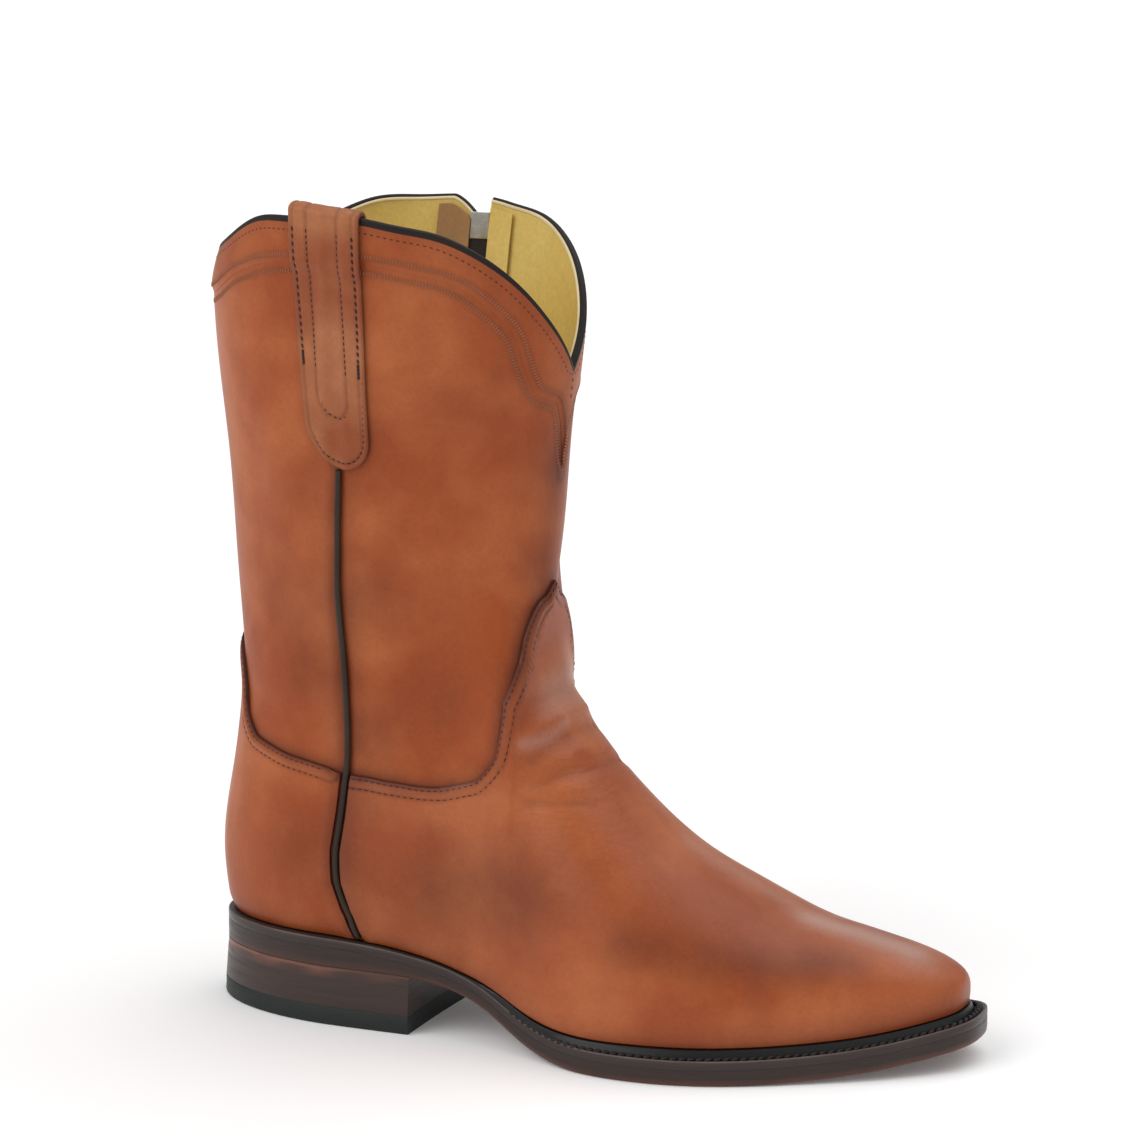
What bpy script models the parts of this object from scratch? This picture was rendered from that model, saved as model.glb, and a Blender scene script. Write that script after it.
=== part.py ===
"""Roper boot, right foot, with a zip on its medial side.

Frame: X runs from heel to toe, Z is up, and Y points to the wearer's left, the medial side with the
zip. The origin is on the floor under the heel. All sizes below are in millimetres, and MM turns them
into metres when a mesh is made.

The leather follows one function, last_point(turn, rise, out). Turn goes round the boot from the back
seam (0) over the lateral side (90) and the front (180) to the medial side (270 degrees). Rise goes up
from the feather edge on the sole (0) to a level above the collar (1). Out is the distance outside the
last's surface. In side view each level is a chord from the back profile to the front profile:
x = back + (front - back) * (1 - cos(turn)) / 2. The half width there is the station's half width times
(1 - g ** p) ** (1 / p), where g runs from 0 at the core to 1 at the front profile.
"""
import math

import bmesh
import bpy
import numpy as np

for item in list(bpy.data.objects):
    bpy.data.objects.remove(item)

MM = 0.001

# sizes of the leather
LEATHER_WALL = 2.0
OVERLAY_THICK = 1.2
FIT_GAP = 0.3
OVERLAY_GAP = 0.4
BASE_OUT = -0.8

# profile of the last in side view
TOE_TIP_X = 250.5
TOE_TIP_Z = 27.0
TOE_ROUND_X = 222.0
TOE_PROFILE_POWER = 2.6
TOE_PLAN_START_X = 205.0
TOE_PLAN_POWER = 2.7
TOE_BELOW_TIP = 20.0
HEEL_SEAT_Z = 35.0
BACK_TOP_Z = 312.0
FRONT_TOP_Z = 298.0
HEEL_ROUND_MAX = 58.0
CORE_ABOVE_FEATHER = 8.0
TUCK_DEPTH = 1.5
TUCK_HEIGHT = 7.0
LEVEL_NORMAL_HEIGHT = 12.0
SHAFT_POWER = 2.0
FOOT_POWER = 2.35

# the foot turns into the shaft between these lengths and heights
SECTION_BLEND_X = (45.0, 110.0)
SECTION_BLEND_Z = (195.0, 140.0)
WIDTH_BLEND_X = (20.0, 85.0)
WIDTH_BLEND_Z = (170.0, 110.0)

# level z, back profile x, half width, centre y
SHAFT_LEVELS = np.array([
    (30.0, -33.1, 32.0, -4.5),
    (60.0, -36.0, 34.5, -4.5),
    (90.0, -31.9, 34.5, -3.5),
    (120.0, -28.8, 34.5, -2.5),
    (150.0, -30.2, 36.0, -1.5),
    (175.0, -31.7, 40.0, -1.0),
    (205.0, -33.0, 45.0, -0.5),
    (250.0, -36.7, 50.0, 0.0),
    (300.0, -37.5, 54.0, 0.0),
    (320.0, -37.5, 54.5, 0.0),
])

# the shaft's back leans in towards the rim: from this level, with this slope once past the soft start,
# dying out forwards with this power
LEAN_START_Z = 262.0
LEAN_SLOPE = 0.42
LEAN_SOFT = 25.0
LEAN_POWER = 4.0

# front profile from the toe up the vamp, instep and shaft: x, z
FRONT_PROFILE = np.array([
    (222.0, 41.7),
    (209.0, 44.7),
    (195.0, 48.0),
    (181.0, 54.1),
    (167.5, 61.6),
    (153.5, 70.1),
    (139.7, 81.0),
    (125.5, 95.7),
    (111.8, 113.0),
    (103.8, 126.3),
    (98.8, 139.1),
    (96.8, 152.0),
    (97.0, 166.0),
    (98.3, 181.0),
    (99.6, 198.0),
    (101.0, 217.0),
    (103.0, 235.0),
    (105.0, 253.0),
    (106.0, 275.0),
    (107.0, 300.0),
])

# station x, centre y, lateral half width, medial half width, feather edge z, outsole underside z
FOOT_STATIONS = np.array([
    (-42.0, -4.5, 32.0, 32.0, 33.3, 22.0),
    (0.0, -4.5, 33.5, 33.5, 33.0, 22.0),
    (35.0, -4.7, 34.0, 33.0, 32.3, 22.0),
    (52.0, -5.0, 33.2, 31.5, 30.5, 21.8),
    (70.0, -5.5, 32.5, 30.0, 27.0, 19.0),
    (86.0, -6.0, 34.0, 30.0, 21.5, 13.4),
    (100.0, -6.3, 38.0, 32.5, 15.2, 6.4),
    (115.0, -6.5, 43.0, 36.5, 11.0, 1.5),
    (130.0, -6.5, 46.5, 43.0, 9.7, 0.0),
    (150.0, -5.5, 47.5, 47.5, 9.6, 0.0),
    (170.0, -2.2, 46.6, 48.8, 9.6, 0.0),
    (190.0, 1.5, 41.5, 45.0, 9.9, 0.2),
    (210.0, 5.3, 33.8, 36.5, 10.9, 1.3),
    (230.0, 9.5, 26.5, 29.5, 13.2, 3.6),
    (250.0, 13.5, 19.5, 25.5, 17.0, 7.4),
    (262.0, 15.5, 17.0, 23.5, 19.6, 10.0),
])

# lines on the last: turn in degrees, rise
RIM_LINE = np.array([
    (0.0, 0.893),
    (20.0, 0.903),
    (30.0, 0.914),
    (40.0, 0.93),
    (50.0, 0.9505),
    (60.0, 0.967),
    (75.0, 0.976),
    (98.0, 0.986),
    (109.0, 0.983),
    (121.0, 0.979),
    (133.6, 0.964),
    (148.0, 0.936),
    (159.6, 0.907),
    (172.0, 0.875),
    (180.0, 0.853),
])
COLLAR_LINE = np.array([
    (0.0, 0.835),
    (38.0, 0.862),
    (50.0, 0.893),
    (63.6, 0.916),
    (74.0, 0.926),
    (98.6, 0.94),
    (105.0, 0.94),
    (121.0, 0.936),
    (129.5, 0.928),
    (138.4, 0.909),
    (146.6, 0.888),
    (152.0, 0.852),
    (157.0, 0.831),
    (170.6, 0.821),
    (176.0, 0.795),
    (180.0, 0.74),
])
VAMP_LINE = np.array([
    (66.0, 0.273),
    (77.0, 0.291),
    (94.5, 0.332),
    (108.2, 0.37),
    (121.0, 0.42),
    (133.0, 0.477),
    (140.4, 0.511),
    (160.3, 0.57),
    (168.6, 0.623),
    (180.0, 0.642),
])
COUNTER_LINE = np.array([
    (0.0, 0.385),
    (14.0, 0.37),
    (22.0, 0.345),
    (24.5, 0.29),
    (33.4, 0.267),
    (48.0, 0.265),
    (57.4, 0.27),
    (62.0, 0.272),
])

# seam lines down the sides: rise, turn in degrees
PIPING_LINE = np.array([
    (0.0, 58.4),
    (0.04, 57.0),
    (0.084, 57.2),
    (0.138, 59.0),
    (0.19, 61.6),
    (0.248, 64.6),
    (0.34, 70.6),
    (0.458, 78.7),
    (0.599, 87.6),
    (0.704, 90.3),
    (1.0, 91.0),
])
ZIP_LINE = np.array([
    (0.0, 298.0),
    (0.093, 297.0),
    (0.253, 290.0),
    (0.458, 276.0),
    (0.599, 268.0),
    (0.704, 264.5),
    (1.0, 262.0),
])

# the dark cord in the side seam, and the binding over the rim
PIPING_RADIUS = 1.5
PIPING_GAP = 0.6
PIPING_BELOW_STRAP = 0.8
PIPING_FOOT_RISE = 0.008
BINDING_DROP = 3.6
BINDING_THICK = 0.9

# the zip: the slot in the upper, its tape and coil
ZIP_SLOT_WIDTH = 7.0
ZIP_TAPE_WIDTH = 22.0
ZIP_TAPE_THICK = 0.8
ZIP_TAPE_BELOW = 5.0
ZIP_COIL_WIDTH = 4.6
ZIP_COIL_THICK = 2.2
ZIP_PANEL_CLEAR = 2.0

# the slider, its hinge and its pull tab
SLIDER_LENGTH = 10.0
SLIDER_BELOW_BINDING = 1.5
SLIDER_WIDTH = 8.0
SLIDER_PLATE = 1.2
SLIDER_POST_WIDTH = 4.0
SLIDER_POST_LENGTH = 2.5
LUG_THICK = 1.0
LUG_LENGTH = 3.0
HINGE_HEIGHT = 2.0
HINGE_RADIUS = 0.6
HINGE_CLEAR = 0.2
KNUCKLE_WALL = 0.7
TAB_THICK = 1.4
TAB_NECK_WIDTH = 3.8
TAB_NECK_LENGTH = 3.4
TAB_WIDTH = 7.0
TAB_LENGTH = 24.0
TAB_HOLE_LENGTH = 9.0
TAB_HOLE_WIDTH = 3.0
TAB_RIM = 2.0
TAB_NECK_THICK = 1.2
KNUCKLE_LENGTH = 3.4

# the pull strap: where it lies round the shaft, and how far down outside and inside
STRAP_TURN_TOP = 87.0
STRAP_TURN_FOOT = 91.0
STRAP_WIDTH_TOP = 28.0
STRAP_WIDTH_FOOT = 25.0
STRAP_THICK = 1.8
STRAP_FOOT_RISE = 0.707
STRAP_INSIDE_RISE = 0.800
STRAP_LOOP_RISE = 1.4
STRAP_END_ROUND = 12.0
STRAP_COVERS_TURN = 30.0
STRAP_STEP_BELOW = 1.0
STRAP_COLUMNS = 5

# welt, outsole and heel
SOLE_FLAT_TRIM = 0.04
WELT_THICK = 3.6
WELT_LIP_HEIGHT = 2.6
WELT_LIP_THICK = 1.6
WELT_LIP_FOOT = 1.4
WELT_LIP_LEAST = 0.2
WELT_LIP_X = (72.0, 100.0)
WELT_SHELF = 3.0
INSOLE_ABOVE_FEATHER = 2.0
INSOLE_CLEAR = 0.8
HEEL_LIFT_THICK = 7.0
HEEL_BREAST_X = 55.0
HEEL_FLARE = 1.2
# turn in degrees, margin of the sole outside the upper's feather edge
SOLE_MARGIN = np.array([
    (0.0, 2.0),
    (40.0, 2.6),
    (55.0, 2.8),
    (65.0, 2.0),
    (75.0, 0.8),
    (84.0, 0.8),
    (93.0, 1.8),
    (100.0, 4.0),
    (106.0, 5.2),
    (112.0, 5.8),
    (126.0, 6.1),
    (140.0, 5.6),
    (155.0, 6.0),
    (170.0, 7.0),
    (180.0, 7.0),
])

# mesh counts: columns from the back round to the front, and from there to the zip, and rows
# from the feather edge to the panels' foot, their top line, the collar band, the binding and rim;
# the rows over the foot lie closer towards the feather edge by the power
SIDE_COLUMNS = 30
ZIP_HEEL_COLUMNS = 10
ZIP_TOE_COLUMNS = 20
ROW_COUNTS = (1, 9, 6, 1, 1)
FOOT_ROW_POWER = 1.4
ZIP_ROWS_BELOW_SLOT = 4
ZIP_STRIP_ROWS = 27

LEATHER = (0.36, 0.12, 0.055, 1.0)
DARK_LEATHER = (0.05, 0.028, 0.02, 1.0)
SOLE_BROWN = (0.045, 0.03, 0.026, 1.0)
RUBBER = (0.02, 0.024, 0.022, 1.0)
METAL = (0.62, 0.62, 0.64, 1.0)
TAPE = (0.03, 0.026, 0.024, 1.0)
INSOLE_TAN = (0.42, 0.27, 0.12, 1.0)


def natural_spline(knots, values, at):
    """Return the natural cubic spline through (knots, values), held level past both ends."""
    at = np.asarray(at, dtype=float)
    steps = np.diff(knots)
    count = len(knots)
    matrix = np.eye(count)
    right = np.zeros(count)
    for i in range(1, count - 1):
        matrix[i, i - 1] = steps[i - 1]
        matrix[i, i] = 2.0 * (steps[i - 1] + steps[i])
        matrix[i, i + 1] = steps[i]
        right[i] = 6.0 * ((values[i + 1] - values[i]) / steps[i] - (values[i] - values[i - 1]) / steps[i - 1])
    bend = np.linalg.solve(matrix, right)
    inside = np.clip(at, knots[0], knots[-1])
    k = np.clip(np.searchsorted(knots, inside, side="right") - 1, 0, count - 2)
    ahead = knots[k + 1] - inside
    behind = inside - knots[k]
    step = steps[k]
    curve = (bend[k] * ahead ** 3 + bend[k + 1] * behind ** 3) / (6.0 * step)
    curve += (values[k] / step - bend[k] * step / 6.0) * ahead
    curve += (values[k + 1] / step - bend[k + 1] * step / 6.0) * behind
    return curve


def column(table, number, at):
    """Return one column of a table as a spline over its first column."""
    return natural_spline(table[:, 0], table[:, number], at)


def ramp(start, end, at):
    """Return 0 at start, 1 at end and a smooth step between them."""
    share = np.clip((at - start) / (end - start), 0.0, 1.0)
    return share * share * (3.0 - 2.0 * share)


def dense_front():
    """Return the front profile as a dense line from below the toe tip up to the collar."""
    angle = np.linspace(0.0, math.pi / 2.0, 40)
    nose_x = TOE_ROUND_X + (TOE_TIP_X - TOE_ROUND_X) * np.cos(angle) ** (2.0 / TOE_PROFILE_POWER)
    slope = (FRONT_PROFILE[1, 1] - FRONT_PROFILE[0, 1]) / (FRONT_PROFILE[1, 0] - FRONT_PROFILE[0, 0])
    crest = FRONT_PROFILE[0, 1] + slope * (nose_x - TOE_ROUND_X)
    nose_z = TOE_TIP_Z + (crest - TOE_TIP_Z) * np.sin(angle) ** (2.0 / TOE_PROFILE_POWER)
    legs = np.hypot(*np.diff(FRONT_PROFILE, axis=0).T)
    length = np.concatenate(([0.0], np.cumsum(legs)))
    at = np.linspace(0.0, length[-1], 240)
    vamp_x = natural_spline(length, FRONT_PROFILE[:, 0], at)
    vamp_z = natural_spline(length, FRONT_PROFILE[:, 1], at)
    x = np.concatenate(([TOE_TIP_X], nose_x, vamp_x[1:]))
    z = np.concatenate(([TOE_TIP_Z - TOE_BELOW_TIP], nose_z, vamp_z[1:]))
    run = np.concatenate(([0.0], np.cumsum(np.hypot(np.diff(x), np.diff(z)))))
    return x, z, run


FRONT_X, FRONT_Z, FRONT_RUN = dense_front()
THROAT = int(np.argmin(FRONT_X))
THROAT_X = FRONT_X[THROAT]
THROAT_Z = FRONT_Z[THROAT]


def back_x(z):
    return column(SHAFT_LEVELS, 1, z)


def lean_in(z):
    """Return how far the back of the shaft leans in at a level."""
    above = np.maximum(z - LEAN_START_Z, 0.0)
    return LEAN_SLOPE * above ** 3 / (above ** 2 + LEAN_SOFT ** 2)


def feather_z(x):
    return column(FOOT_STATIONS, 4, x)


def ridge_z(x):
    """Return the height of the front profile over x, steep behind the throat."""
    over = np.interp(x, FRONT_X[1:THROAT + 1][::-1], FRONT_Z[1:THROAT + 1][::-1])
    return np.where(x < THROAT_X, THROAT_Z + (THROAT_X - x) * 6.0, over)


def side_view(turn, rise):
    """Return x and z of a point of the last in side view. Turn is in radians."""
    forward = (1.0 - np.cos(turn)) / 2.0
    back_foot_z = feather_z(back_x(HEEL_SEAT_Z))
    back_z = back_foot_z + (BACK_TOP_Z - back_foot_z) * rise
    run_foot = np.interp(feather_z(TOE_TIP_X), FRONT_Z, FRONT_RUN)
    run_top = np.interp(FRONT_TOP_Z, FRONT_Z, FRONT_RUN)
    run = run_foot + (run_top - run_foot) * rise
    start_x = back_x(back_z)
    x = start_x + (np.interp(run, FRONT_RUN, FRONT_X) - start_x) * forward
    z = back_z + (np.interp(run, FRONT_RUN, FRONT_Z) - back_z) * forward
    foot_x = back_x(back_foot_z) + (TOE_TIP_X - back_x(back_foot_z)) * forward
    foot_z = back_foot_z + (feather_z(TOE_TIP_X) - back_foot_z) * forward
    z = z + (feather_z(foot_x) - foot_z) * (1.0 - rise) ** 4
    return x + lean_in(z) * (1.0 - forward) ** LEAN_POWER, z


def half_width(x, z, lateral):
    """Return the half width of the last at a point of its side view."""
    foot = np.where(lateral, column(FOOT_STATIONS, 2, x), column(FOOT_STATIONS, 3, x))
    shaft = column(SHAFT_LEVELS, 2, z)
    to_foot = ramp(*WIDTH_BLEND_X, x) * ramp(*WIDTH_BLEND_Z, z)
    width = (1.0 - to_foot) * shaft + to_foot * foot
    back = back_x(z) + lean_in(z)
    front = np.interp(z, FRONT_Z, FRONT_X)
    middle = (back + front) / 2.0
    crest = ridge_z(x)
    core = np.minimum(feather_z(x) + CORE_ABOVE_FEATHER, crest - 1.0)
    section = ramp(*SECTION_BLEND_X, x) * ramp(*SECTION_BLEND_Z, z)
    g_shaft = np.clip((x - middle) / (front - middle), 0.0, 1.0)
    g_foot = np.clip((z - core) / (crest - core), 0.0, 1.0)
    g = (1.0 - section) * g_shaft + section * g_foot
    power = SHAFT_POWER + (FOOT_POWER - SHAFT_POWER) * section
    width = width * (1.0 - g ** power) ** (1.0 / power)
    heel = np.clip(1.0 - (x - back) / np.minimum(middle - back, HEEL_ROUND_MAX), 0.0, 1.0)
    toe = np.clip((x - TOE_PLAN_START_X) / (TOE_TIP_X - TOE_PLAN_START_X), 0.0, 1.0)
    return width * np.sqrt(1.0 - heel ** 2) * (1.0 - toe ** TOE_PLAN_POWER) ** (1.0 / TOE_PLAN_POWER)


def centre_y(x, z):
    to_foot = ramp(*WIDTH_BLEND_X, x) * ramp(*WIDTH_BLEND_Z, z)
    return (1.0 - to_foot) * column(SHAFT_LEVELS, 3, z) + to_foot * column(FOOT_STATIONS, 1, x)


def bare_point(turn, rise):
    x, z = side_view(turn, rise)
    side = -np.sin(turn)
    width = half_width(x, z, side < 0.0)
    width = np.where(np.abs(side) < 1e-9, 0.0, width)
    return np.stack((x, centre_y(x, z) + np.sign(side) * width, z), axis=-1)


def last_frame(turn, rise):
    """Return the point, its outward normal and its speed in mm per radian of turn."""
    step = 0.02
    lift = 0.004
    low = np.clip(rise - lift, 0.0, 1.0)
    high = np.clip(rise + lift, 0.0, 1.0)
    round_way = bare_point(turn + step, rise) - bare_point(turn - step, rise)
    up_way = bare_point(turn, high) - bare_point(turn, low)
    normal = np.cross(round_way, up_way)
    normal /= np.linalg.norm(normal, axis=-1, keepdims=True)
    speed = np.linalg.norm(round_way, axis=-1) / (2.0 * step)
    return bare_point(turn, rise), normal, speed


def last_point(turn, rise, out):
    """Return points of the last in mm, out outside its surface, tucked in at the feather edge."""
    turn, rise, out = np.broadcast_arrays(turn, rise, out)
    point, normal, _ = last_frame(turn, rise)
    above = point[..., 2] - feather_z(point[..., 0])
    tuck = TUCK_DEPTH * np.clip(1.0 - above / TUCK_HEIGHT, 0.0, 1.0) ** 2
    level = 1.0 - ramp(0.0, LEVEL_NORMAL_HEIGHT, above)
    flat = normal.copy()
    flat[..., 2] = flat[..., 2] * (1.0 - level)
    flat /= np.linalg.norm(flat, axis=-1, keepdims=True)
    return point + flat * (out - tuck)[..., None]


def line_rise(line, turn):
    """Return the rise of a line at a turn, the same on the lateral and the medial side."""
    folded = np.degrees(np.abs((turn + math.pi) % (2.0 * math.pi) - math.pi))
    return np.interp(folded, line[:, 0], line[:, 1])


def seam_turn(line, rise):
    return np.radians(np.interp(rise, line[:, 0], line[:, 1]))


def turn_of(width, turn, rise):
    """Return the turn in radians that a width in mm takes at a point."""
    _, _, speed = last_frame(turn, rise)
    return width / speed


def material(name, colour, roughness, metallic=0.0):
    made = bpy.data.materials.new(name)
    made.use_nodes = True
    shader = made.node_tree.nodes["Principled BSDF"]
    shader.inputs["Base Color"].default_value = colour
    shader.inputs["Roughness"].default_value = roughness
    shader.inputs["Metallic"].default_value = metallic
    made.diffuse_color = colour
    return made


def solid(name, points, faces, colour, roughness=0.5, metallic=0.0):
    """Make one closed mesh object from points in mm."""
    mesh = bpy.data.meshes.new(name)
    mesh.from_pydata([tuple(p) for p in np.asarray(points) * MM], [], [tuple(f) for f in faces])
    work = bmesh.new()
    work.from_mesh(mesh)
    bmesh.ops.remove_doubles(work, verts=work.verts, dist=1e-6)
    bmesh.ops.triangulate(work, faces=work.faces)
    bmesh.ops.recalc_face_normals(work, faces=work.faces)
    work.to_mesh(mesh)
    work.free()
    mesh.materials.append(material(name + "_finish", colour, roughness, metallic))
    made = bpy.data.objects.new(name, mesh)
    bpy.context.collection.objects.link(made)
    return made


def wall_faces(rows, columns, keep):
    """Return the faces of a wall between an outer and an inner grid of rows by columns points.

    keep is a rows - 1 by columns array of the cells that exist. The last column of cells joins the
    last column of points to the first. Where a kept cell has no kept neighbour, an edge face closes
    the wall.
    """
    inner = rows * columns
    faces = []
    for r in range(rows - 1):
        for c in range(columns):
            if not keep[r, c]:
                continue
            d = (c + 1) % columns
            a0, a1 = r * columns + c, r * columns + d
            b0, b1 = (r + 1) * columns + c, (r + 1) * columns + d
            faces.append((a0, a1, b1, b0))
            faces.append((inner + b0, inner + b1, inner + a1, inner + a0))
            if r == 0 or not keep[r - 1, c]:
                faces.append((a1, a0, inner + a0, inner + a1))
            if r == rows - 2 or not keep[r + 1, c]:
                faces.append((b0, b1, inner + b1, inner + b0))
            if not keep[r, c - 1]:
                faces.append((a0, b0, inner + b0, inner + a0))
            if not keep[r, d]:
                faces.append((b1, a1, inner + a1, inner + b1))
    return faces


def patch(left, right, low, high, columns, rows):
    """Return turns and rises of a grid between two seam functions of rise and two of turn."""
    across = np.linspace(0.0, 1.0, columns)[None, :]
    up = np.linspace(0.0, 1.0, rows)[:, None]
    rise = 0.5 + 0.0 * (across + up)
    turn = left(rise) + (right(rise) - left(rise)) * across
    for _ in range(30):
        rise = low(turn) + (high(turn) - low(turn)) * up
        turn = left(rise) + (right(rise) - left(rise)) * across
    return turn, rise


def overlay(name, grid, inside, outside, colour, roughness=0.45):
    """Make a leather overlay on a grid of turns and rises between two distances outside the last."""
    turn, rise = grid
    rows, columns = turn.shape
    outer = last_point(turn, rise, outside).reshape(-1, 3)
    inner = last_point(turn, rise, inside).reshape(-1, 3)
    keep = np.ones((rows - 1, columns), dtype=bool)
    keep[:, -1] = False
    return solid(name, np.vstack((outer, inner)), wall_faces(rows, columns, keep), colour, roughness)


def rise_per_mm(turn, rise):
    """Return how much rise one mm of height takes at a point."""
    step = 0.005
    gain = side_view(turn, rise + step)[1] - side_view(turn, rise - step)[1]
    return 2.0 * step / gain


def zip_edge(rise, side, margin=0.0):
    """Return the turn of the edge of the zip's slot, side +1 towards the heel."""
    middle = seam_turn(ZIP_LINE, rise)
    return middle + side * turn_of(ZIP_SLOT_WIDTH / 2.0 + margin, middle, rise)


OVERLAY_IN = BASE_OUT + OVERLAY_GAP
OVERLAY_OUT = OVERLAY_IN + OVERLAY_THICK
RISE_PER_MM = 1.0 / (BACK_TOP_Z - FOOT_STATIONS[0, 4])
PANEL_LINE = np.vstack((COUNTER_LINE, VAMP_LINE))


def seam_beside(line, side, clear):
    """Return a seam function of rise, clear mm from a line, side +1 towards greater turns."""
    def seam(rise):
        middle = seam_turn(line, rise)
        return middle + side * turn_of(clear, middle, rise)
    return seam


def lip_height(x):
    """Return the height of the welt's raised lip, which fades out under the arch."""
    return WELT_LIP_LEAST + (WELT_LIP_HEIGHT - WELT_LIP_LEAST) * ramp(*WELT_LIP_X, x)


def foot_rise(turn):
    """Return the rise of the overlays' lower edge, just above the welt's lip."""
    step = 0.03
    x, low_z = side_view(turn, 0.0 * turn)
    _, next_z = side_view(turn, 0.0 * turn + step)
    return step * (lip_height(x) + 2.0 * FIT_GAP) / np.maximum(next_z - low_z, 1.0)


def row_rise(row, turn):
    """Return the rise of the upper's rows, which follow the edges of the overlays."""
    row, turn = np.broadcast_arrays(row, turn)
    rim = line_rise(RIM_LINE, turn)
    lines = np.stack((
        0.0 * turn, foot_rise(turn), line_rise(PANEL_LINE, turn), line_rise(COLLAR_LINE, turn),
        rim - (BINDING_DROP + 2.0 * FIT_GAP) * RISE_PER_MM, rim))
    knots = np.concatenate(([0], np.cumsum(ROW_COUNTS)))
    k = np.clip(np.searchsorted(knots, row, side="right") - 1, 0, len(ROW_COUNTS) - 1)
    share = (row - knots[k]) / (knots[k + 1] - knots[k])
    share = np.where(k == 1, share ** FOOT_ROW_POWER, share)
    low = np.take_along_axis(lines, k[None], axis=0)[0]
    high = np.take_along_axis(lines, k[None] + 1, axis=0)[0]
    return low + (high - low) * share


def columns_round(start, end):
    """Return the turns of the upper's columns, from the zip's heel edge round to its toe edge."""
    start = start - 2.0 * math.pi
    heel = np.linspace(1.0, 0.0, ZIP_HEEL_COLUMNS + 1)[:-1]
    side = np.linspace(0.0, math.pi, SIDE_COLUMNS + 1)[:-1]
    front = np.linspace(0.0, 1.0, ZIP_TOE_COLUMNS)
    return np.hstack((
        start[:, None] * heel, np.tile(side, (len(start), 1)), math.pi + (end[:, None] - math.pi) * front))


def upper_grid(margin):
    """Return the turns and rises of the upper's points, which end margin mm outside the zip's slot.

    The lowest row has the even turns of the sole, so the upper and the welt meet facet to facet.
    """
    row = np.arange(sum(ROW_COUNTS) + 1)
    rise = np.tile((row / row[-1])[:, None], (1, 2))
    for _ in range(25):
        heel_edge = zip_edge(rise[:, 0], 1.0, margin)
        toe_edge = zip_edge(rise[:, -1], -1.0, margin)
        heel_edge[0] = 2.0 * math.pi - ZIP_HEEL_COLUMNS * math.pi / SIDE_COLUMNS
        toe_edge[0] = math.pi + (ZIP_TOE_COLUMNS - 1) * math.pi / SIDE_COLUMNS
        turn = columns_round(heel_edge, toe_edge)
        rise = row_rise(row[:, None], turn)
    return turn, rise


def build_upper():
    """The shaft and foot: one wall of leather, open at the collar, below and along the zip."""
    turn, rise = upper_grid(0.0)
    rows, columns = turn.shape
    outer = last_point(turn, rise, BASE_OUT).reshape(-1, 3)
    inner = last_point(turn, rise, BASE_OUT - LEATHER_WALL).reshape(-1, 3)
    keep = np.ones((rows - 1, columns), dtype=bool)
    keep[ZIP_ROWS_BELOW_SLOT:, -1] = False
    return solid("upper", np.vstack((outer, inner)), wall_faces(rows, columns, keep), LEATHER)


def panel_grid(first_row, last_row, first_column, last_column, left=None, right=None):
    """Return a grid on the upper's own rows and columns, with its edges moved to two seams."""
    turn = upper_grid(ZIP_PANEL_CLEAR)[0][first_row:last_row + 1, first_column:last_column + 1]
    row = np.arange(first_row, last_row + 1)
    for place, seam in ((0, left), (-1, right)):
        if seam is None:
            continue
        edge = turn[:, place]
        for _ in range(25):
            edge = seam(row_rise(row, edge))
        turn[:, place] = edge
    return turn, row_rise(row[:, None], turn)


def build_overlays():
    """The vamp with its tongue, the counter round the heel and the band below the collar."""
    piping_clear = PIPING_RADIUS + PIPING_GAP
    vamp_edge = seam_beside(PIPING_LINE, 1.0, piping_clear)
    counter_edge = seam_beside(PIPING_LINE, -1.0, piping_clear)
    foot_row = ROW_COUNTS[0]
    panel_row = foot_row + ROW_COUNTS[1]
    collar_row = panel_row + ROW_COUNTS[2]
    column_turn = math.pi / SIDE_COLUMNS
    reach = np.linspace(0.0, float(np.max(PANEL_LINE[:, 1])), 60)
    reach = reach[reach < float(line_rise(PANEL_LINE, seam_turn(PIPING_LINE, 0.28)))]
    vamp_column = ZIP_HEEL_COLUMNS + int(np.max(vamp_edge(reach)) / column_turn + 0.3)
    counter_column = ZIP_HEEL_COLUMNS + int(np.min(counter_edge(reach)) / column_turn + 0.7)
    last = ZIP_HEEL_COLUMNS + SIDE_COLUMNS + ZIP_TOE_COLUMNS - 1
    overlay("vamp", panel_grid(foot_row, panel_row, vamp_column, last, left=vamp_edge),
            OVERLAY_IN, OVERLAY_OUT, LEATHER)
    overlay("heel_counter", panel_grid(foot_row, panel_row, 0, counter_column, right=counter_edge),
            OVERLAY_IN, OVERLAY_OUT, LEATHER)
    overlay("collar_band", panel_grid(collar_row, collar_row + ROW_COUNTS[3], 0, last),
            OVERLAY_IN, OVERLAY_OUT, LEATHER)


def sweep(name, rings, colour, closed=False, roughness=0.5, metallic=0.0):
    """Join rings of points, each an array of points by 3, into one closed body."""
    count = len(rings)
    size = len(rings[0])
    faces = []
    for k in range(count if closed else count - 1):
        n = (k + 1) % count
        for i in range(size):
            j = (i + 1) % size
            faces.append((k * size + i, k * size + j, n * size + j, n * size + i))
    if not closed:
        faces.append(tuple(range(size)))
        faces.append(tuple(range((count - 1) * size, count * size)))
    return solid(name, np.vstack(rings), faces, colour, roughness, metallic)


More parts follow.
